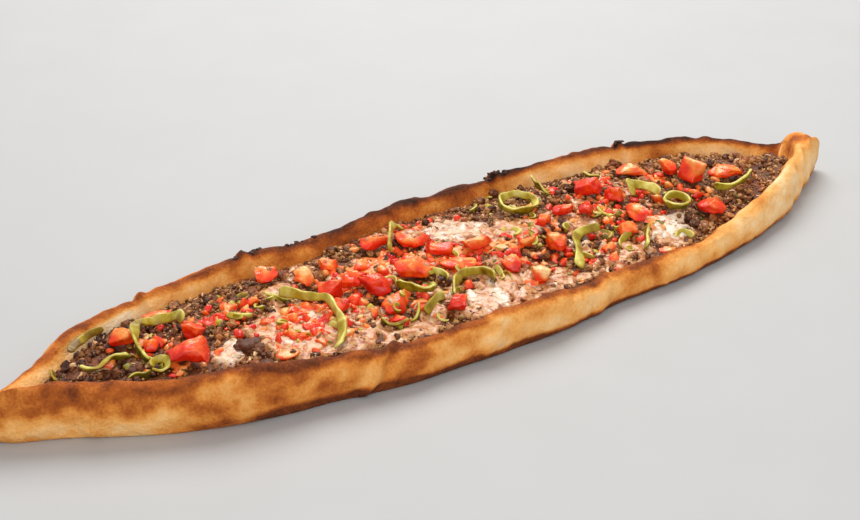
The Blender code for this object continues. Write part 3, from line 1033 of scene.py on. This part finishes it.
class Heap:
    """The rising surface of the meat while crumbs fall on it one by one."""

    def __init__(self, core, walls, toppings, cheeses):
        self.floor = core.copy()
        self.level = core.copy()
        self.inside = (core > walls - 0.3 * MM) & (core > 0)
        self.covered = toppings > core + 1.0 * MM
        for axis in (0, 1, 0, 1):
            self.covered &= np.roll(self.covered, 1, axis) & np.roll(self.covered, -1, axis)
        self.under_cheese = cheeses > core

    def at(self, x, y):
        return level_at(self.smooth, x, y)

    def settle(self, passes, above=None):
        """Evens out the surface that later toppings lie on."""
        level = self.level if above is None else np.maximum(self.level, above)
        self.smooth = blurred(level, passes)
        self.slope = np.hypot(*np.gradient(self.smooth, CELL))

    def drop(self, x, y, radius, sink=0.3):
        """Where a lump of that radius comes to rest, and the surface after it."""
        i, j = cell(x, y)
        reach = max(1, int(math.ceil(radius / CELL)))
        patch = (slice(i - reach, i + reach + 1), slice(j - reach, j + reach + 1))
        ground = self.level[patch]
        z = float(np.mean(ground[ground > 0])) + sink * radius
        dx = MAP_X[patch[0]][:, None] - x
        dy = MAP_Y[patch[1]][None, :] - y
        dome = radius * radius - dx * dx - dy * dy
        top = np.where(dome > 0, z + 0.7 * np.sqrt(np.maximum(dome, 0)), -1)
        self.level[patch] = np.maximum(ground, top)
        return z


def scattered(heap, count, low, high, ceiling, over_cheese):
    """Places for lumps of a range of sizes, dropped at random over the bed."""
    inside = np.argwhere(heap.inside)
    for _ in range(count):
        i, j = inside[rng.integers(len(inside))]
        x, y = MAP_X[i] + rng.uniform(-0.5, 0.5) * MM, MAP_Y[j] + rng.uniform(-0.5, 0.5) * MM
        radius = rng.uniform(low, high) * MM
        if heap.covered[i, j] or (heap.under_cheese[i, j] and rng.random() > over_cheese):
            continue
        if heap.level[i, j] - heap.floor[i, j] <= ceiling * MM:
            yield x, y, heap.drop(x, y, radius), radius


def toned(x, tones):
    """How light a crumb at x is; the meat is darker towards the left tip."""
    return rng.uniform(*tones) - 0.28 * float(smoothstep((-0.155 - x) / 0.06)) + 0.06 * float(smoothstep((x - 0.13) / 0.05))


def crumbs(heap, name, count, sizes, shapes, ceiling, material, tones, slot="minced_meat", over_cheese=0.3):
    """Crumbs over the whole bed, joined into one piece."""
    forms, faces = shapes
    parts, tone = [], []
    for x, y, z, radius in scattered(heap, count, *sizes, ceiling, over_cheese):
        parts.append(turned(forms[rng.integers(len(forms))], 0.7) * radius + (x, y, z))
        tone.append(toned(x, tones))
    return joined(name, parts, faces, material, slot, tone=tone)


def joined(name, parts, faces, material, slot, **per_part):
    """Many small closed meshes with the same faces as one piece, with numbers for each."""
    size = len(parts[0])
    every = [tuple(v + k * size for v in face) for k in range(len(parts)) for face in faces]
    attributes = {}
    for key, values in per_part.items():
        flat = np.ravel(np.asarray(values, dtype=float))
        attributes[key] = flat if len(flat) == size * len(parts) else np.repeat(flat, size)
    return new_piece(name, np.concatenate(parts), every, material, slot, **attributes)


# ---------------------------------------------------------------- the cheese


def film(heap, region, thickness, floor=2.4, steepest=9.0):
    """The sides of a melted film over the heap wherever region(x, y) is above 0 and the heap is
    no steeper than that slope. The film's edge runs down between the crumbs."""

    def sides_at(x, y):
        cover = region(x, y)
        a, b = cell(x * MM, y * MM)
        if cover <= 0 or not heap.inside[a, b] or heap.slope[a, b] > steepest:
            return None
        at = Vector((x, y, 0))
        thick = thickness * min(1.0, cover / 0.35) ** 0.5 - 0.9 * math.exp(-cover / 0.06)
        thick += 0.6 * noise.noise(at / 7) + 0.3 * noise.noise(at / 3.2)
        level = heap.at(x * MM, y * MM)
        return level + thick * MM, level - floor * MM

    return sides_at


def cheese(number, row, heap, material):
    """One of the larger melted patches, with a ragged outline."""
    x, y, length, width, turn = row
    cosine, sine = math.cos(math.radians(turn)), math.sin(math.radians(turn))

    def region(px, py):
        u = ((px - x) * cosine + (py - y) * sine) / (length / 2)
        v = ((py - y) * cosine - (px - x) * sine) / (width / 2)
        rough = 0.55 * noise.noise(Vector((px / 9, py / 9, number))) + 0.35 * noise.noise(
            Vector((px / 3.4, py / 3.4, number))
        )
        return 1.12 - math.hypot(u, v) + rough * min(1.0, 14 / width + 0.3)

    reach = max(length, width) * 0.75
    box = ((x - reach, y - reach), (x + reach, y + reach))
    name = f"melted_cheese_{number:02d}"
    piece = sheet(name, box, 0.8, film(heap, region, 1.9), material, "melted_cheese", CHEESE_TONES[number - 1])
    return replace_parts(piece, f"cheese_{number:02d}")


def veil(heap, material):
    """Thin cheese that ran out over the middle of the bed and sank in between the crumbs."""

    def region(px, py):
        share = min(1.0, max(0.0, (px + 140) / 30)) * min(1.0, max(0.0, (142 - px) / 30))
        share *= min(1.0, max(0.0, (26 + 0.08 * px - py) / 22))
        at = Vector((px, py, 3.0))
        rough = 0.75 * noise.noise(at / 13) + 0.5 * noise.noise(at / 5)
        cover = 0.52 * share + rough - 0.70
        for x, y, along, across, strength in CHEESE_POOLS:
            away = ((px - x) / along) ** 2 + ((py - y) / across) ** 2
            if away < 4:
                cover += strength * math.exp(-away)
        return cover

    box = ((-170, -66), (160, 44))
    return sheet("cheese_veil", box, 0.95, film(heap, region, 1.5), material, "melted_cheese", 0.36)


def drape(heap, material):
    """Cheese that melted over parts of the tomato and holds the pieces together."""

    def region(px, py):
        at = Vector((px, py, 17.0))
        share = min(1.0, max(0.0, (px + 130) / 30)) * min(1.0, max(0.0, (150 - px) / 30))
        return 0.8 * noise.noise(at / 10) + 0.5 * noise.noise(at / 3.6) + 0.25 * share - 0.42

    box = ((-140, -58), (160, 50))
    return sheet("cheese_drape", box, 0.8, film(heap, region, 0.7, 1.6, 0.95), material, "melted_cheese", 0.40)


# ---------------------------------------------------------------- the tomato


def cut_faces(points, seed):
    """Flattens a lump where a knife went through, and tells which points still have their skin."""
    random_cuts = np.random.default_rng(seed)
    middle = (points.min(0) + points.max(0)) / 2
    half = np.maximum((points.max(0) - points.min(0)) / 2, 1e-6)
    unit = (points - middle) / half
    heading = random_cuts.uniform(0, 2 * math.pi)
    for k in range(6):
        turn = heading + k * 1.2 + random_cuts.uniform(-0.4, 0.4)
        plane = np.array((math.cos(turn), math.sin(turn), random_cuts.uniform(-0.3, 1.3)))
        plane /= np.linalg.norm(plane)
        past = unit @ plane - random_cuts.uniform(0.45, 0.7)
        unit -= np.where(past > 0, past * 0.93, 0)[:, None] * plane
    unit /= np.abs(unit).max(0)
    side = np.array((math.cos(heading + 0.6), math.sin(heading + 0.6), random_cuts.uniform(-0.4, 0.5)))
    side /= np.linalg.norm(side)
    skin = smoothstep((unit @ side - 0.45) / 0.12)
    unit *= 1.0 + 0.18 * field(unit, 1.4, seed + 5)[:, None] + 0.07 * field(unit, 0.55, seed + 6)[:, None]
    return middle + unit * half, skin, unit[:, 2]


def bent(points, seed):
    """A long piece bent in plan, as slices are; a squat one stays as it is."""
    middle = points.mean(0)
    flat = (points - middle)[:, :2]
    spans, axes = np.linalg.eigh(flat.T @ flat)
    if spans[1] < 2.2 * spans[0]:
        return points
    along, across = flat @ axes[:, 1], flat @ axes[:, 0]
    reach = np.abs(along).max()
    bow = np.random.default_rng(seed).choice((-0.3, -0.2, 0.2, 0.3)) * reach
    across = across + bow * ((along / reach) ** 2 - 0.35)
    flat = along[:, None] * axes[:, 1] + across[:, None] * axes[:, 0]
    return np.column_stack((flat + middle[:2], points[:, 2]))


def tomato_piece(name, points, normals, faces, material, seed, base):
    """A cut piece: glossy skin on one side, wet flesh on the others; its tops are painted paler as painted light and
    its lower parts deeper red as painted shade.
    """
    points, skin, height = cut_faces(bent(points, seed), seed)
    rough = 1 - 0.7 * skin
    relief = 0.5 * field(points, 0.0042, seed) + 0.4 * field(points, 0.0019, seed + 1)
    relief -= 0.9 * np.maximum(0.25 - np.abs(field(points, 0.006, seed + 3)), 0) * 2
    points = points + normals * (relief * rough * MM)[:, None]
    # painted light and shade: the tone rises with height, so each piece's top is paler and its lower side deeper red
    tone = base + 0.34 * (np.clip(height, -1, 1) - 0.25) + 0.35 * field(points, 0.006, seed + 2)
    return new_piece(name, points, faces, material, "tomato", skin=skin, tone=tone)


def tomato(node, material):
    number = int(node[-2:])
    points, normals, faces = take(refined(node, 3))
    tone = TOMATO_TONES[number - 1] + 0.06
    piece = tomato_piece(f"cut_{node}", points, normals, faces, material, 300 + number, tone)
    over = max(v.co.z for v in piece.data.vertices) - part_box(node)[1].z
    for vertex in piece.data.vertices:
        vertex.co.z -= max(over, 0)
    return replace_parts(piece, node)


def lump(length, width, height, squareness=4.0, cuts=6):
    """A rounded block standing on z = 0, as points, normals and faces."""
    bm = bmesh.new()
    bmesh.ops.create_cube(bm, size=2)
    bmesh.ops.subdivide_edges(bm, edges=bm.edges, cuts=cuts, use_grid_fill=True)
    for vertex in bm.verts:
        p = vertex.co
        p /= sum(abs(a) ** squareness for a in p) ** (1 / squareness)
        vertex.co = (p.x * length / 2, p.y * width / 2, (p.z + 1) * height / 2)
    return take(bm)


def small_tomato(number, heap, material, x, y, length, width, height, turn):
    points, normals, faces = lump(length * MM, width * MM, height * MM)
    cosine, sine = math.cos(math.radians(turn)), math.sin(math.radians(turn))
    spin = np.array(((cosine, -sine, 0), (sine, cosine, 0), (0, 0, 1)))
    points, normals = points @ spin.T, normals @ spin.T
    points = points + (x * MM, y * MM, heap.at(x * MM, y * MM) - 1.0 * MM)
    name, tone = f"tomato_piece_{number:02d}", random.choice((0.12, 0.25, 0.4, 0.5, 0.65))
    return tomato_piece(name, points, normals, faces, material, 700 + number, tone)


def chopped(count, squareness, low, high, cuts=3):
    """Small blocks of about unit radius with uneven sides: their points, and the faces they share."""
    points, _, faces = lump(2, 2, 2, squareness, cuts)
    points = points - (0, 0, 1)
    return [
        points * (1 + 0.3 * field(points, 1.3, s + 9))[:, None] * rng.uniform(low, high) for s in range(count)
    ], faces


def tomato_pulp(heap, material):
    """Soft flesh that spread out between the pieces of cut tomato."""

    def region(px, py):
        at = Vector((px, py, 9.0))
        cover = 0.6 * noise.noise(at / 11) + 0.5 * noise.noise(at / 4) - 0.62
        for x, y, along, across in PULP_POOLS:
            away = ((px - x) / along) ** 2 + ((py - y) / across) ** 2
            if away < 4:
                cover += 0.9 * math.exp(-away)
        return cover

    box = ((-200, -60), (190, 56))
    return sheet("tomato_pulp", box, 0.9, film(heap, region, 1.0), material, "tomato", 0.62)


def tomato_dice(heap, material):
    """Small dice of tomato between the larger pieces, each cut on its own."""
    points, _, faces = lump(2, 2, 2, 6.0, 4)
    points = points - (0, 0, 1)
    shapes = [cut_faces(points * rng.uniform((0.8, 0.6, 0.4), (1.4, 1.0, 0.8)), 900 + k) for k in range(16)]
    parts, tone, skin = [], [], []
    for x, y, spread, count in TOMATO_CLUSTERS:
        for _ in range(round(count * 0.45)):
            px, py = rng.normal(x, spread * 0.6), rng.normal(y, spread * 0.5)
            i, j = cell(px * MM, py * MM)
            if not heap.inside[i - 2 : i + 3, j - 2 : j + 3].all():
                continue
            radius = rng.uniform(2.0, 3.6) * MM
            shape, peel, height = shapes[rng.integers(16)]
            z = heap.at(px * MM, py * MM) + 0.25 * radius
            parts.append(turned(shape, 0.6) * radius + (px * MM, py * MM, z))
            # painted light and shade: each die is paler on top and deeper red below, by height
            tone.append(rng.uniform(0.0, 0.75) + 0.25 * height)
            skin.append(peel)
    return joined("tomato_dice", parts, faces, material, "tomato", tone=tone, skin=skin)


def tomato_bits(heap, material):
    """Small bits that fell off the cut tomato, thick in a few places."""
    shapes, faces = chopped(10, 3.2, (0.8, 0.6, 0.4), (1.4, 1.0, 0.8), 2)
    parts, tone, skin = [], [], []
    for x, y, spread, count in TOMATO_CLUSTERS:
        for _ in range(count):
            px, py = rng.normal(x, spread * 0.55), rng.normal(y, spread * 0.45)
            i, j = cell(px * MM, py * MM)
            if not heap.inside[i, j] or heap.covered[i, j]:
                continue
            radius = rng.uniform(0.9, 2.8) * MM
            z = heap.drop(px * MM, py * MM, radius, 0.2)
            parts.append(turned(shapes[rng.integers(10)], 0.5) * radius + (px * MM, py * MM, z))
            tone.append(rng.uniform(0.0, 0.9))
            skin.append(float(rng.random() < 0.35))
    return joined("tomato_bits", parts, faces, material, "tomato", tone=tone, skin=skin)


# ---------------------------------------------------------------- the pepper


def pepper_line(x, y, length, heading, first_bend, second_bend, step=0.8):
    """Points along the middle of a slice with the direction square to each, in metres."""
    count = max(6, round(length / step))
    stride = length * MM / count
    here, turn = np.array((x * MM, y * MM)), math.radians(heading)
    places, squares = [here], [(-math.sin(turn), math.cos(turn))]
    for i in range(count):
        bend = math.radians(first_bend if i < count / 2 else second_bend) / (count / 2)
        here = here + stride * np.array((math.cos(turn + bend / 2), math.sin(turn + bend / 2)))
        turn += bend
        places.append(here)
        squares.append((-math.sin(turn), math.cos(turn)))
    return np.array(places), np.array(squares)


def pepper_mesh(row, foot_at, seed, size):
    """A slice of pepper wall: thin, skin on the outside of its bend, flesh on the inside."""
    places, squares = pepper_line(*row[:6])
    closed = abs(row[4] + row[5]) >= 360
    if closed:
        places, squares = places[:-1], squares[:-1]
    outward = -1 if row[4] + row[5] > 0 else 1
    feet = np.array([foot_at(*p) for p in places])
    for _ in range(6):
        before, after = np.roll(feet, 1), np.roll(feet, -1)
        if not closed:
            before[0], after[-1] = feet[0], feet[-1]
        feet = (feet + before + after) / 3
    count, sides = len(places), 20
    angles = 2 * np.pi * np.arange(sides) / sides
    cos, sin = np.cos(angles), np.sin(angles)
    shape_out = np.sign(cos) * np.abs(cos) ** 0.4
    shape_up = np.sign(sin) * np.abs(sin) ** 0.5
    points, skin, level = [], [], []
    for k in range(count):
        end = 1.0 if closed else min(1.0, 0.6 + min(k, count - 1 - k) / 5)
        wall = SLICE_WALL * size * (1 + 0.45 * wobble(k, 9, seed)) / 2 * end
        rise = SLICE_HEIGHT * size * (1 + 0.4 * wobble(k, 13, seed + 1)) / 2 * end
        tilt = 0.5 + 1.3 * wobble(k, 20, seed + 2)
        bulge = 1 + 0.3 * wobble(k, 5, seed + 3)
        out = shape_out * wall * np.where(cos > 0, bulge, 1)
        up = shape_up * rise
        side_move = out * math.cos(tilt) + up * math.sin(tilt)
        lift = up * math.cos(tilt) - out * math.sin(tilt)
        raised = feet[k] + SLICE_HEIGHT * size * 0.45 + 1.2 * MM * wobble(k, 11, seed + 4)
        for s in range(sides):
            x, y = places[k] + squares[k] * side_move[s] * outward
            points.append((x, y, raised + lift[s]))
            skin.append(float(smoothstep((cos[s] - 0.4) / 0.3)))
            level.append(sin[s])
    faces = []
    for k in range(count if closed else count - 1):
        for s in range(sides):
            t, n = (s + 1) % sides, (k + 1) % count
            quad = (k * sides + s, n * sides + s, n * sides + t, k * sides + t)
            faces.append(quad if outward > 0 else quad[::-1])
    if not closed:
        first = tuple(range(sides))
        last = tuple((count - 1) * sides + s for s in range(sides))
        faces.append(first if outward > 0 else first[::-1])
        faces.append(last[::-1] if outward > 0 else last)
    points = np.array(points)
    tone = 0.5 + 0.5 * field(points, 0.009, seed) + 0.3 * field(points, 0.0035, seed + 8)
    # painted light and shade: each slice's upper edge is paler and its lower edge darker
    tone += 0.2 * np.array(level) + row[6]
    points += 0.35 * MM * np.stack([field(points, 0.004, seed + k) for k in (5, 6, 7)], axis=1)
    points[:, 2] -= max(points[:, 2].max() - cad_high[2], 0)
    return points, faces, skin, tone


def pepper(name, row, foot_at, material, seed, size=1.0):
    points, faces, skin, tone = pepper_mesh(row, foot_at, seed, size)
    return new_piece(name, points, faces, material, "green_pepper", skin=skin, tone=tone)


def pepper_curls(heap, material):
    """Short curls of pepper that lie between the larger toppings."""
    points, faces, skin, tone, size = [], [], [], [], 0
    seed = 200
    for x, y, spread, count in PEPPER_CLUSTERS:
        for _ in range(max(2, round(count * 0.34))):
            px, py = rng.normal(x, spread * 0.55), rng.normal(y, spread * 0.5)
            bend = rng.choice((-1, 1)) * rng.uniform(50, 170, 2)
            row = (px, py, rng.uniform(6, 13), rng.uniform(0, 360), *bend, rng.uniform(-0.25, 0.3))
            scale = rng.uniform(0.55, 0.85)
            seed += 1
            i, j = cell(px * MM, py * MM)
            if not heap.inside[i - 6 : i + 7, j - 6 : j + 7].all():
                continue
            part = pepper_mesh(row, lambda x, y: heap.at(x, y) - 0.8 * MM, seed, scale)
            points.append(part[0])
            faces += [tuple(v + size for v in face) for face in part[1]]
            skin += list(part[2])
            tone += list(part[3])
            size += len(part[0])
    return new_piece("pepper_curls", np.concatenate(points), faces, material, "green_pepper", skin=skin, tone=tone)


def sliced_pepper(number, row, material):
    node = f"pepper_{number:02d}"
    tree = tree_of(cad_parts[node])
    low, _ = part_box(node)

    def foot_at(x, y):
        hit = tree.ray_cast(Vector((x, y, 0.1)), Vector((0, 0, -1)))[0]
        if hit is None:
            hit = tree.find_nearest(Vector((x, y, low.z + PEPPER_HEIGHT)))[0]
        return max(hit.z - PEPPER_HEIGHT, low.z)

    size = 0.75 if number == 3 else 1.0
    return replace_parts(pepper(f"sliced_{node}", row, foot_at, material, number, size), node)


def small_pepper(number, row, heap, material):
    def foot_at(x, y):
        return heap.at(x, y) - 0.6 * MM

    return pepper(f"pepper_piece_{number:02d}", row, foot_at, material, 60 + number, 0.8)


def pepper_bits(heap, material):
    """Chopped bits of pepper: a thin wall with its skin on one side."""
    shapes, faces = chopped(10, 4.0, (1.0, 0.7, 0.3), (1.8, 1.1, 0.5))
    parts, tone, skin = [], [], []
    for x, y, spread, count in PEPPER_CLUSTERS:
        for _ in range(count):
            px, py = rng.normal(x, spread * 0.55), rng.normal(y, spread * 0.45)
            i, j = cell(px * MM, py * MM)
            if not heap.inside[i, j] or heap.covered[i, j]:
                continue
            radius = rng.uniform(0.8, 2.0) * MM
            shape = shapes[rng.integers(10)]
            bent = shape + (0, 0, 1) * (0.35 * shape[:, :1] ** 2 * (-1, -1, -1)) * (0, 0, 1)
            z = heap.drop(px * MM, py * MM, radius * 0.7, 0.7)
            parts.append(turned(bent, 0.9) * radius + (px * MM, py * MM, z))
            tone.append(np.full(len(shape), rng.uniform(0.2, 1.0)))
            skin.append(smoothstep((shape[:, 2] * rng.choice((-1, 1)) - 0.05) / 0.2))
    return joined("pepper_bits", parts, faces, material, "green_pepper", tone=tone, skin=skin)


def burnt_lump(heap, material):
    """A big lump of meat that browned darker than the rest."""
    shapes, faces = crumb_shapes(3, 4, 0.4)
    parts = []
    for x, y, radius, shape in ((-143, -26, 5.4, 0), (-139, -30, 3.6, 1), (-147, -23, 3.2, 2)):
        z = heap.at(x * MM, y * MM) - 0.2 * radius * MM
        parts.append(turned(shapes[shape], 0.4) * radius * MM * (1.1, 1.1, 0.8) + (x * MM, y * MM, z))
    return joined("burnt_lump", parts, faces, material, "minced_meat", tone=[0.16, 0.22, 0.28])


def onion_slivers(heap, material):
    """Thin bent slivers of cooked onion."""
    shapes, faces = chopped(8, 3.0, (1.3, 0.5, 0.25), (2.2, 0.8, 0.4), 2)
    parts = []
    for x, y, z, radius in scattered(heap, 260, 0.7, 1.5, 9.0, 1.0):
        shape = shapes[rng.integers(8)]
        bent = shape - (0, 1, 0) * (0.22 * shape[:, :1] ** 2)
        parts.append(turned(bent, 0.6) * radius + (x, y, z))
    return joined("onion_slivers", parts, faces, material, "minced_meat")


# ---------------------------------------------------------------- burnt bits on the far crest


def burnt_bits(crust, material):
    """Scraps of flour and filling that burnt onto the far crest."""
    shapes, faces = crumb_shapes(8, 2)
    tree = tree_of(crust)
    parts = []
    for start, end, count in ((-113, -96, 15), (-84, -70, 8), (60, 74, 14), (-66, -62, 2), (150, 154, 3)):
        for _ in range(count):
            x = rng.uniform(start, end) * MM
            y = far_edge(x) - rng.uniform(3.5, 9.0) * MM
            z = tree.ray_cast(Vector((x, y, 0.1)), Vector((0, 0, -1)))[0].z
            radius = rng.uniform(0.5, 1.4) * MM
            parts.append(turned(shapes[rng.integers(8)], 0.5) * radius * (1.2, 1, 0.7) + (x, y, z + 0.2 * radius))
    return joined("burnt_bits", parts, faces, material, "baked_crust")


# ---------------------------------------------------------------- light, floor and camera


def aim(obj, target):
    obj.rotation_euler = (obj.location - Vector(target)).to_track_quat("Z", "Y").to_euler()


def soft_light(name, place, target, size, power, colour=(1, 1, 1)):
    light = bpy.data.lights.new(name, "AREA")
    light.shape = "DISK"
    light.size = size
    light.energy = power
    light.color = colour
    obj = bpy.data.objects.new(name, light)
    obj.location = place
    aim(obj, target)
    bpy.context.scene.collection.objects.link(obj)


def studio():
    scene = bpy.context.scene
    scene.view_settings.view_transform = "Standard"
    world = bpy.data.worlds.new("studio")
    world.use_nodes = True
    background = world.node_tree.nodes["Background"]
    background.inputs["Color"].default_value = (0.98, 0.98, 1.0, 1)
    background.inputs["Strength"].default_value = 0.5
    scene.world = world
    soft_light("overhead", (0.5, 0.85, 1.35), (0, 0, 0), 1.2, 30.5, (1.0, 0.985, 0.96))
    soft_light("front_fill", (-0.5, -1.25, 1.05), (0, 0, 0), 1.3, 13.5, (1.0, 0.97, 0.93))

    bpy.ops.mesh.primitive_plane_add(size=8)
    floor = bpy.context.object
    floor.name = "floor"
    look = Look("pale_floor", 0.7)
    look.colour(look.mix(look.noise(60, 2), srgb(174, 174, 173), srgb(179, 179, 179)))
    floor.data.materials.append(look.material)


def camera():
    """Looks along the pide from its left near side, thirty degrees down."""
    azimuth, elevation, distance = math.radians(-31.4), math.radians(30), 0.8669
    back = Vector(
        (
            math.sin(azimuth) * math.cos(elevation),
            -math.cos(azimuth) * math.cos(elevation),
            math.sin(elevation),
        )
    )
    data = bpy.data.cameras.new("camera")
    data.lens, data.sensor_width, data.clip_start = 62.8, 36, 0.01
    obj = bpy.data.objects.new("camera", data)
    target = Vector((-0.0001, 0.0346, 0))
    obj.location = target + back * distance
    aim(obj, target)
    bpy.context.scene.collection.objects.link(obj)
    bpy.context.scene.camera = obj


# ---------------------------------------------------------------- putting it together

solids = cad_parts
cheeses = sorted(n for n in solids if n.startswith("cheese"))
tomatoes = sorted(n for n in solids if n.startswith("tomato"))
peppers = sorted(n for n in solids if n.startswith("pepper"))

crust = dough(crust_look())
brown = meat_look()
bed = meat_core(brown)
heap = Heap(
    height_map(tree_of(bed)),
    height_map(tree_of(crust)),
    height_map(tree_of(*(solids[n] for n in tomatoes))),
    height_map(tree_of(*(solids[n] for n in cheeses))),
)
rough_lumps, small_lumps, grains = crumb_shapes(12, 3), crumb_shapes(20, 2), crumb_shapes(12, 1)
crumbs(heap, "meat_lumps", 230, (2.1, 3.1), rough_lumps, 2.0, brown, (0.04, 0.64))
crumbs(heap, "meat_pieces", 620, (1.5, 2.3), small_lumps, 2.2, brown, (0.04, 0.68), over_cheese=0.18)
crumbs(heap, "meat_crumbs", 2150, (0.8, 1.7), small_lumps, 2.4, brown, (0.08, 0.80), over_cheese=0.14)
crumbs(heap, "meat_grains", 6200, (0.35, 0.85), grains, 3.2, brown, (0.25, 0.95), over_cheese=0.10)
crumbs(heap, "parsley_flecks", 220, (0.5, 1.1), grains, 4.2, herb_look(), (0.5, 0.6))
onion_slivers(heap, onion_look())

heap.settle(5)
red, green, melted = tomato_look(), pepper_look(), cheese_look()
for number, row in enumerate(CHEESES, 1):
    cheese(number, row, heap, melted)
burnt_lump(heap, brown)
veil(heap, melted)
tomato_pulp(heap, red)
tomato_bits(heap, red)
pepper_bits(heap, green)
heap.settle(3)
dice = tomato_dice(heap, red)
pieces = [dice] + [tomato(node, red) for node in tomatoes]
for number, row in enumerate(SMALL_TOMATOES, 1):
    pieces.append(small_tomato(number, heap, red, *row))
heap.settle(3, height_map(tree_of(*pieces)))
drape(heap, melted)
for number, row in enumerate(PEPPERS, 1):
    sliced_pepper(number, row, green)
for number, row in enumerate(SMALL_PEPPERS, 1):
    small_pepper(number, row, heap, green)
pepper_curls(heap, green)
burnt_bits(crust, char_look())

studio()
camera()
